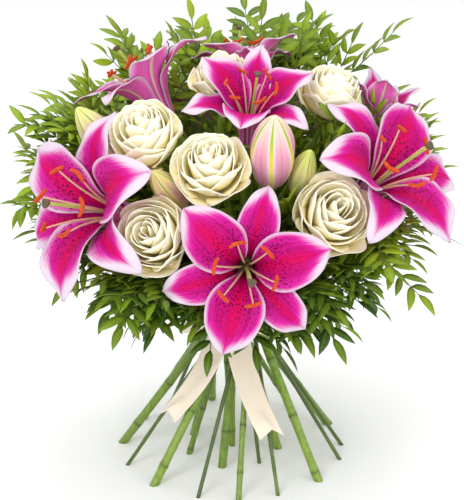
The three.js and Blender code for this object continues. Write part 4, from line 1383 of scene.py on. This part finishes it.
class Greenery:
    """One leafy stem, as it grows its twigs and leaves."""

    def __init__(self, name, blooms, draw):
        self.name, self.blooms, self.draw = name, blooms, draw
        self.parts = Parts()
        self.corners = Corners(f"{name}_stem")

    def has_room(self, route, shy_from=0.5):
        """True where a twig runs clear of the flowers, and its leafy end doesn't hide one."""
        marks = [route.at(t) for t in TWIG_MARKS]
        shy = [mark for mark, t in zip(marks, TWIG_MARKS) if t > shy_from]
        return self.blooms.leave(marks, TWIG_CLEARANCE, zip(marks, marks[1:]), shy)

    def fits(self, root, along, across, length, half_width):
        tip, middle = root + along * length, root + along * (length * 0.5)
        marks = [tip, middle, middle + across * half_width, middle - across * half_width]
        return self.blooms.leave(marks, LEAF_CLEARANCE, [(root, tip)], [tip, middle])

    def built_rolls(self, rib, hand):
        """The roll that the frame's leaflet here was given, as a list, empty if the frame has none."""
        forms = []
        for roll in LEAFLET_ROLLS:
            _, along, _, normal = rib.leaflet(hand, roll)
            root = rib.point + rib.side * (hand * RIB_HALF_WIDTH)
            forms.append((roll, root + along * LEAFLET["length"] - normal * LEAFLET["droop"]))
        roll = self.corners.nearest(forms, 1.2)
        return [] if roll is None else [roll]

    def leaflet(self, rib, hand, tone, size, built):
        """A leaflet as the frame has it, or one of the scene's own that is rolled clear of the flowers."""
        length = LEAFLET["length"] * size * self.draw(0.92, 1.1)
        half_width = LEAFLET["half_width"] * size * self.draw(0.76, 0.98)
        shade = min(1.0, max(0.0, tone + self.draw(-0.25, 0.25)))
        for roll in self.built_rolls(rib, hand) if built else LEAFLET_ROLLS:
            spread = LEAFLET["spread"] + self.draw(-12, 6) * (not built)
            root, along, across, up = rib.leaflet(hand, roll, spread)
            if built or self.fits(root, along, across, length, half_width):
                droop = LEAFLET["droop"] + self.draw(-1.5, 2.5)
                fold = self.draw(0.1, 0.45)
                blade(self.bm, root, along, across, up, length, half_width, shade, droop, fold)
                return

    def spray(self, route, tone, pairs, size=1.0, radii=(0.8, 0.4), built=False):
        """A twig along its route, with pairs of leaflets towards its tip."""
        self.bm = new_mesh()
        steps = max(6, round(route.length / 11))
        paint(sweep(self.bm, route.points(steps), [lerp(*radii, u) for u in shares(steps)], 5, tone), 1)
        for k in range(pairs):
            rib = Rib(route, (LEAFLET_STEP * k + 10) * size)
            for hand in (1, -1):
                self.leaflet(rib, hand, tone, size, built and k < FRAME_PAIRS)
        self.leaflet(Rib(route, 0), 0, tone, size, built)
        self.parts.add(self.bm)

    def fork(self, route, from_tip, hand, pairs, size):
        """The route of a smaller spray beside a main one, or None where there is no room."""
        rib = Rib(route, from_tip)
        reach = (LEAFLET_STEP * pairs + 8) * size
        for _ in range(ATTEMPTS):
            root, along, _, up = rib.leaflet(hand, self.draw(-80, 80), self.draw(26, 62))
            bend = up * self.draw(-0.3, 0.3) + Vector((0, 0, self.draw(-0.1, 0.25)))
            end = root + (along + bend * 0.6).normalized() * reach
            arrive = (along + bend).normalized() * (0.3 * reach)
            fork = Curve(root, root + along * (0.35 * reach), end - arrive, end)
            if self.has_room(fork, 0):
                return fork
        return None

    def forks(self, route, tone, count):
        """Smaller sprays to both sides of a main one."""
        leafy = LEAFLET_STEP * bpy.context.scene.bouquet_green.pairs
        for k in range(count):
            from_tip = lerp(leafy - 20, route.length * 0.84, k / max(1, count - 1))
            for hand in (1, -1):
                size = self.draw(0.74, 1.14)
                pairs = round(self.draw(2.6, 5.4))
                fork = self.fork(route, from_tip + self.draw(-6, 6), hand, pairs, size)
                if fork:
                    self.spray(fork, tone + self.draw(-0.15, 0.15), pairs, size)

    def added_spray(self, start):
        """The route of a spray that the frame lacks, out to the bouquet's outline in the stem's sector."""
        azimuth, spread, low, high = SECTORS[self.name]
        for _ in range(ATTEMPTS):
            z = self.draw(low, high)
            out, rise = outline_at(z)
            out *= self.draw(0.82, 1.0)
            turn, lift = self.draw(-spread, spread), self.draw(-14, 14)
            route = spray_curve(start, LINES[self.name][1], azimuth + turn, out, z, rise + lift)
            if self.has_room(route):
                return route
        return None

    def stem(self, top):
        foot, crown = on_line(self.name, BELOW_FLOOR), on_line(self.name, top)
        line = [foot.lerp(crown, u) for u in shares(24)]
        radii = [STEM_RADIUS["green"] * (0.97 + self.draw(-0.05, 0.08)) for _ in line]
        bm = new_mesh()
        verts = sweep(bm, line, radii, 9, self.draw(0, 1))
        paint(verts, 1)
        cut_level(bm, verts, 2)
        self.parts.add(bm)

    def build(self):
        green = bpy.context.scene.bouquet_green
        sprays = SPRAYS[self.name]
        top = CURVE_Z + SPRAY_SPACING * len(sprays)
        self.stem(top)
        for i, (azimuth, out, z, rise) in enumerate(sprays):
            start = on_line(self.name, top - SPRAY_ROOT_DEPTH - SPRAY_SPACING * i)
            routes = [
                spray_curve(start, LINES[self.name][1], azimuth + turn, out, z + lift, rise)
                for turn, lift in SPRAY_SHIFTS
            ]
            route = self.corners.nearest([(route, route.handles[3]) for route in routes], 1.8)
            if route:
                tone = self.tone(route)
                self.spray(route, tone, green.pairs, radii=(1.5, 0.55), built=True)
                self.forks(route, tone, green.side_sprays)
        for _ in range(green.added):
            route = self.added_spray(on_line(self.name, top - self.draw(3, 26)))
            if route:
                tone = self.tone(route)
                self.spray(route, tone, green.pairs, self.draw(0.85, 1.15), (1.2, 0.45))
                self.forks(route, tone, green.side_sprays - 1)
        return self.parts.join()

    def tone(self, route):
        """Painted light and shade: lighter towards the rim and top, darker low and inside, with a random
        share of each spray's own.
        """
        tip = route.handles[3]
        painted_lightness = 0.5 * smooth((tip.z - 160) / 200) + 0.2 * smooth((tip.xy.length - 120) / 80)
        return painted_lightness + self.draw(0, 0.3)


class BOUQUET_OT_greenery(bpy.types.Operator):
    """Builds the leafy stems, with their twigs and leaflets clear of the flowers"""

    bl_idname = "bouquet.greenery"
    bl_label = "Greenery"

    def execute(self, context):
        green = context.scene.bouquet_green
        materials = [
            material("Leaf", green_material, green.light, green.dark),
            material("Twig", stem_material, green.twig, green.stem_dark),
            material("Cut end", plain_tissue, green.cut, *CUT_GRAIN),
        ]
        context.view_layer.update()
        blooms = Blooms()
        for seed, name in enumerate(SPRAYS):
            plant = Greenery(name, blooms, random.Random(seed + 501).uniform)
            add_piece(plant.build(), f"{name}_leaves", materials, f"{name}_stem")
        return {"FINISHED"}


# Ribbon
BAND = {"half_height": 12, "thickness": 1.3, "clearance": 0.45, "facets": 12, "turns": 1.4}
KNOT_AZIMUTH = -96
KNOT_RADIUS = 6.5
RIBBON_WIDTH = 26
LOOP = [(-2, 3, 4), (20, 9, 10), (42, 8, 13), (46, 1, 13), (26, -3, 11), (-2, 0, 4)]
LOOP_SAG = 0.22
TAILS = {
    "left": {"azimuths": (-104, -140), "bottom": 58},
    "right": {"azimuths": (-86, -64), "bottom": 50},
}
TAIL_NOTCH = 9


def stems_reach(z):
    """How far out the straight outer stems reach at a height."""
    lean = math.tan(radians(RING_LEAN["outer"]))
    return math.hypot(OUTER_RADIUS, (z - WAIST_Z) * lean) + STEM_RADIUS["lily"]


def through(stations, t):
    """A smooth curve through a list of equal-length tuples, for t from 0 to 1."""
    place = min(0.9999, max(0.0, t)) * (len(stations) - 1)
    i = int(place)
    s = place - i
    a, b, c, d = (stations[min(len(stations) - 1, max(0, i + k))] for k in (-1, 0, 1, 2))
    return [
        0.5 * (2 * q + (r - p) * s + (2 * p - 5 * q + 4 * r - w) * s * s + (3 * q - p - 3 * r + w) * s**3)
        for p, q, r, w in zip(a, b, c, d)
    ]


def ribbon_piece(name, place, rows, columns, node_name="ribbon_bow", closed=False):
    """A strip of the ribbon whose points are put at place(v, u)."""
    look = bpy.context.scene.bouquet_ribbon
    bm = new_mesh()
    verts = sheet(bm, columns, rows, 0.5, place)
    if closed:
        bmesh.ops.remove_doubles(bm, verts=verts, dist=0.01)
    middle = [place(0, u) for u in shares(rows)]
    length = sum((b - a).length for a, b in zip(middle, middle[1:]))
    satin = material("Cream satin", satin_material)
    piece = add_piece(bm, name, [satin], node_name, look.thickness)
    return piece


def band_point(v, u):
    """The ribbon's wrap round the stems, more than one turn, so that it overlaps itself."""
    z = WAIST_Z + BAND["half_height"] * v * (0.94 + 0.05 * math.cos(8 * math.pi * u)) + 2.4 * (u - 0.5)
    gather = 0.16 * math.sin(9 * v + 5 * math.sin(7 * u))
    out = stems_reach(z) + BAND["clearance"] + 0.35 + 0.5 * u + gather
    return beside(KNOT_AZIMUTH + 360 * BAND["turns"] * u, 0, out, z)


def knot_middle():
    flat = math.cos(math.pi / BAND["facets"])
    face = (stems_reach(WAIST_Z + KNOT_RADIUS) + BAND["clearance"]) / flat + BAND["thickness"]
    return face + SEAT_GAP + KNOT_RADIUS * math.cos(math.pi / 6)


def knot_point(v, u):
    """The creased barrel of the knot."""
    a = 2 * math.pi * u
    barrel = 1 - 0.16 * v * v
    crease = 0.75 * math.sin(15 * v + 1.5 * math.sin(2 * a))
    out = (5.9 * barrel + crease) * math.cos(a)
    up = (7.0 * barrel + crease) * math.sin(a)
    return beside(KNOT_AZIMUTH, 7.2 * v, knot_middle() + out, WAIST_Z + up)


def loop_point(side):
    """A loop of the bow, pleated where the knot holds it."""

    def place(v, u):
        along, away, half = through(LOOP, u)
        pleats = smooth((30 - along) / 26)
        fold = 1.9 * pleats * math.sin(10.5 * v)
        z = WAIST_Z - LOOP_SAG * along - side * v * half
        return beside(KNOT_AZIMUTH, side * along, knot_middle() + away + fold, z)

    return place


def tail_point(azimuths, bottom):
    """A tail that hangs over the stems, gathered at the knot and notched at its end."""

    def place(v, u):
        azimuth = lerp(*azimuths, u)
        z = lerp(WAIST_Z - 2, bottom, u)
        wave = 1.2 * math.sin(9 * u) * u
        reach = max(stems_reach(z) + 3.2 + wave, stems_reach(WAIST_Z) + 8 - 20 * u)
        half = RIBBON_WIDTH / 2 * lerp(0.35, 1, smooth(3 * u))
        fold = 1.7 * smooth((0.3 - u) / 0.3) * math.sin(9.5 * v)
        fold += 1.5 * v * v * math.sin(7 * u + 1) + 0.6 * math.sin(4 * v + 9 * u)
        notch = TAIL_NOTCH * (1 - abs(v)) * smooth((u - 0.75) / 0.25)
        return beside(azimuth, v * half, reach + fold, z + notch)

    return place


class BOUQUET_OT_ribbon(bpy.types.Operator):
    """Builds the satin ribbon: its band round the stems, knot, loops and tails"""

    bl_idname = "bouquet.ribbon"
    bl_label = "Ribbon"

    def execute(self, context):
        ribbon_piece("ribbon_wrap", band_point, 168, 8, "ribbon_band")
        ribbon_piece("ribbon_knot", knot_point, 48, 30, closed=True)
        for name, side in (("left", -1), ("right", 1)):
            ribbon_piece(f"ribbon_loop_{name}", loop_point(side), 60, 18)
            ribbon_piece(f"ribbon_tail_{name}", tail_point(**TAILS[name]), 60, 16)
        return {"FINISHED"}


# Stage
LIGHTS = {  # watts, size and place in metres
    "key": (17, 1.1, (-1.0, -1.5, 1.7)),
    "fill": (7, 1.4, (1.6, -1.1, 1.0)),
    "top": (8, 1.2, (0.1, 0.5, 1.9)),
    "front": (6, 0.9, (0.2, -1.9, 0.75)),
}
FLOOR_RADIUS = 9
LENS = 108
SKY_STRENGTH = 0.95


def add_light(name, energy, size, place):
    data = bpy.data.lights.new(name, "AREA")
    data.energy, data.size = energy, size
    light = add_object(name, data)
    light.location = place
    light.rotation_euler = (Vector((0, 0, 0.25)) - Vector(place)).to_track_quat("-Z", "Y").to_euler()


class BOUQUET_OT_stage(bpy.types.Operator):
    """Lays the floor, hangs the lights and sets the camera at the photograph's angle"""

    bl_idname = "bouquet.stage"
    bl_label = "Stage"

    def execute(self, context):
        look = context.scene.bouquet_stage
        bm = bmesh.new()
        bmesh.ops.create_circle(bm, cap_ends=True, segments=64, radius=FLOOR_RADIUS)
        mesh = bpy.data.meshes.new("floor")
        bm.to_mesh(mesh)
        bm.free()
        pale = Skin("Pale floor", (0.9, 0.5), {"Base Color": look.floor})
        mesh.materials.append(pale.material)
        add_object("floor", mesh)

        world = bpy.data.worlds.new("Soft studio")
        context.scene.world = world
        world.use_nodes = True
        plug(world.node_tree.nodes["Background"], {"Color": (1, 1, 1, 1), "Strength": SKY_STRENGTH})
        for name, light in LIGHTS.items():
            add_light(name, *light)
        context.scene.view_settings.view_transform = "Standard"

        camera = add_object("camera", bpy.data.cameras.new("camera"))
        camera.data.sensor_width = 36
        camera.data.lens = LENS
        camera.data.clip_end = 100
        back = Vector((0, -math.cos(look.elevation), math.sin(look.elevation)))
        camera.location = Vector((0, 0, look.target)) + back * look.distance
        camera.rotation_euler = (-back).to_track_quat("-Z", "Y").to_euler()
        context.scene.camera = camera
        return {"FINISHED"}


OPERATORS = [
    BOUQUET_OT_roses, BOUQUET_OT_lilies, BOUQUET_OT_stamens, BOUQUET_OT_buds, BOUQUET_OT_stems,
    BOUQUET_OT_greenery, BOUQUET_OT_ribbon, BOUQUET_OT_stage,
]
SETTINGS = {
    "bouquet_rose": BouquetRose,
    "bouquet_lily": BouquetLily,
    "bouquet_green": BouquetGreen,
    "bouquet_ribbon": BouquetRibbon,
    "bouquet_stage": BouquetStage,
}


class BOUQUET_PT_panel(bpy.types.Panel):
    """Lists the bouquet's settings and the operators that build it"""

    bl_idname = "BOUQUET_PT_panel"
    bl_label = "Bouquet"
    bl_space_type = "VIEW_3D"
    bl_region_type = "UI"
    bl_category = "Bouquet"

    def draw(self, context):
        for operator in OPERATORS:
            self.layout.operator(operator.bl_idname)
        for name, settings in SETTINGS.items():
            box = self.layout.box()
            for label in settings.__annotations__:
                box.prop(getattr(context.scene, name), label)


def register():
    for name, settings in SETTINGS.items():
        bpy.utils.register_class(settings)
        setattr(bpy.types.Scene, name, PointerProperty(type=settings))
    for made in (*OPERATORS, BOUQUET_PT_panel):
        bpy.utils.register_class(made)


def unregister():
    for made in (BOUQUET_PT_panel, *OPERATORS):
        bpy.utils.unregister_class(made)
    for name, settings in SETTINGS.items():
        delattr(bpy.types.Scene, name)
        bpy.utils.unregister_class(settings)


def main():
    register()
    for operator in OPERATORS:
        getattr(bpy.ops.bouquet, operator.bl_idname.split(".")[1])()
    bpy.context.view_layer.update()


if __name__ == "__main__":
    main()
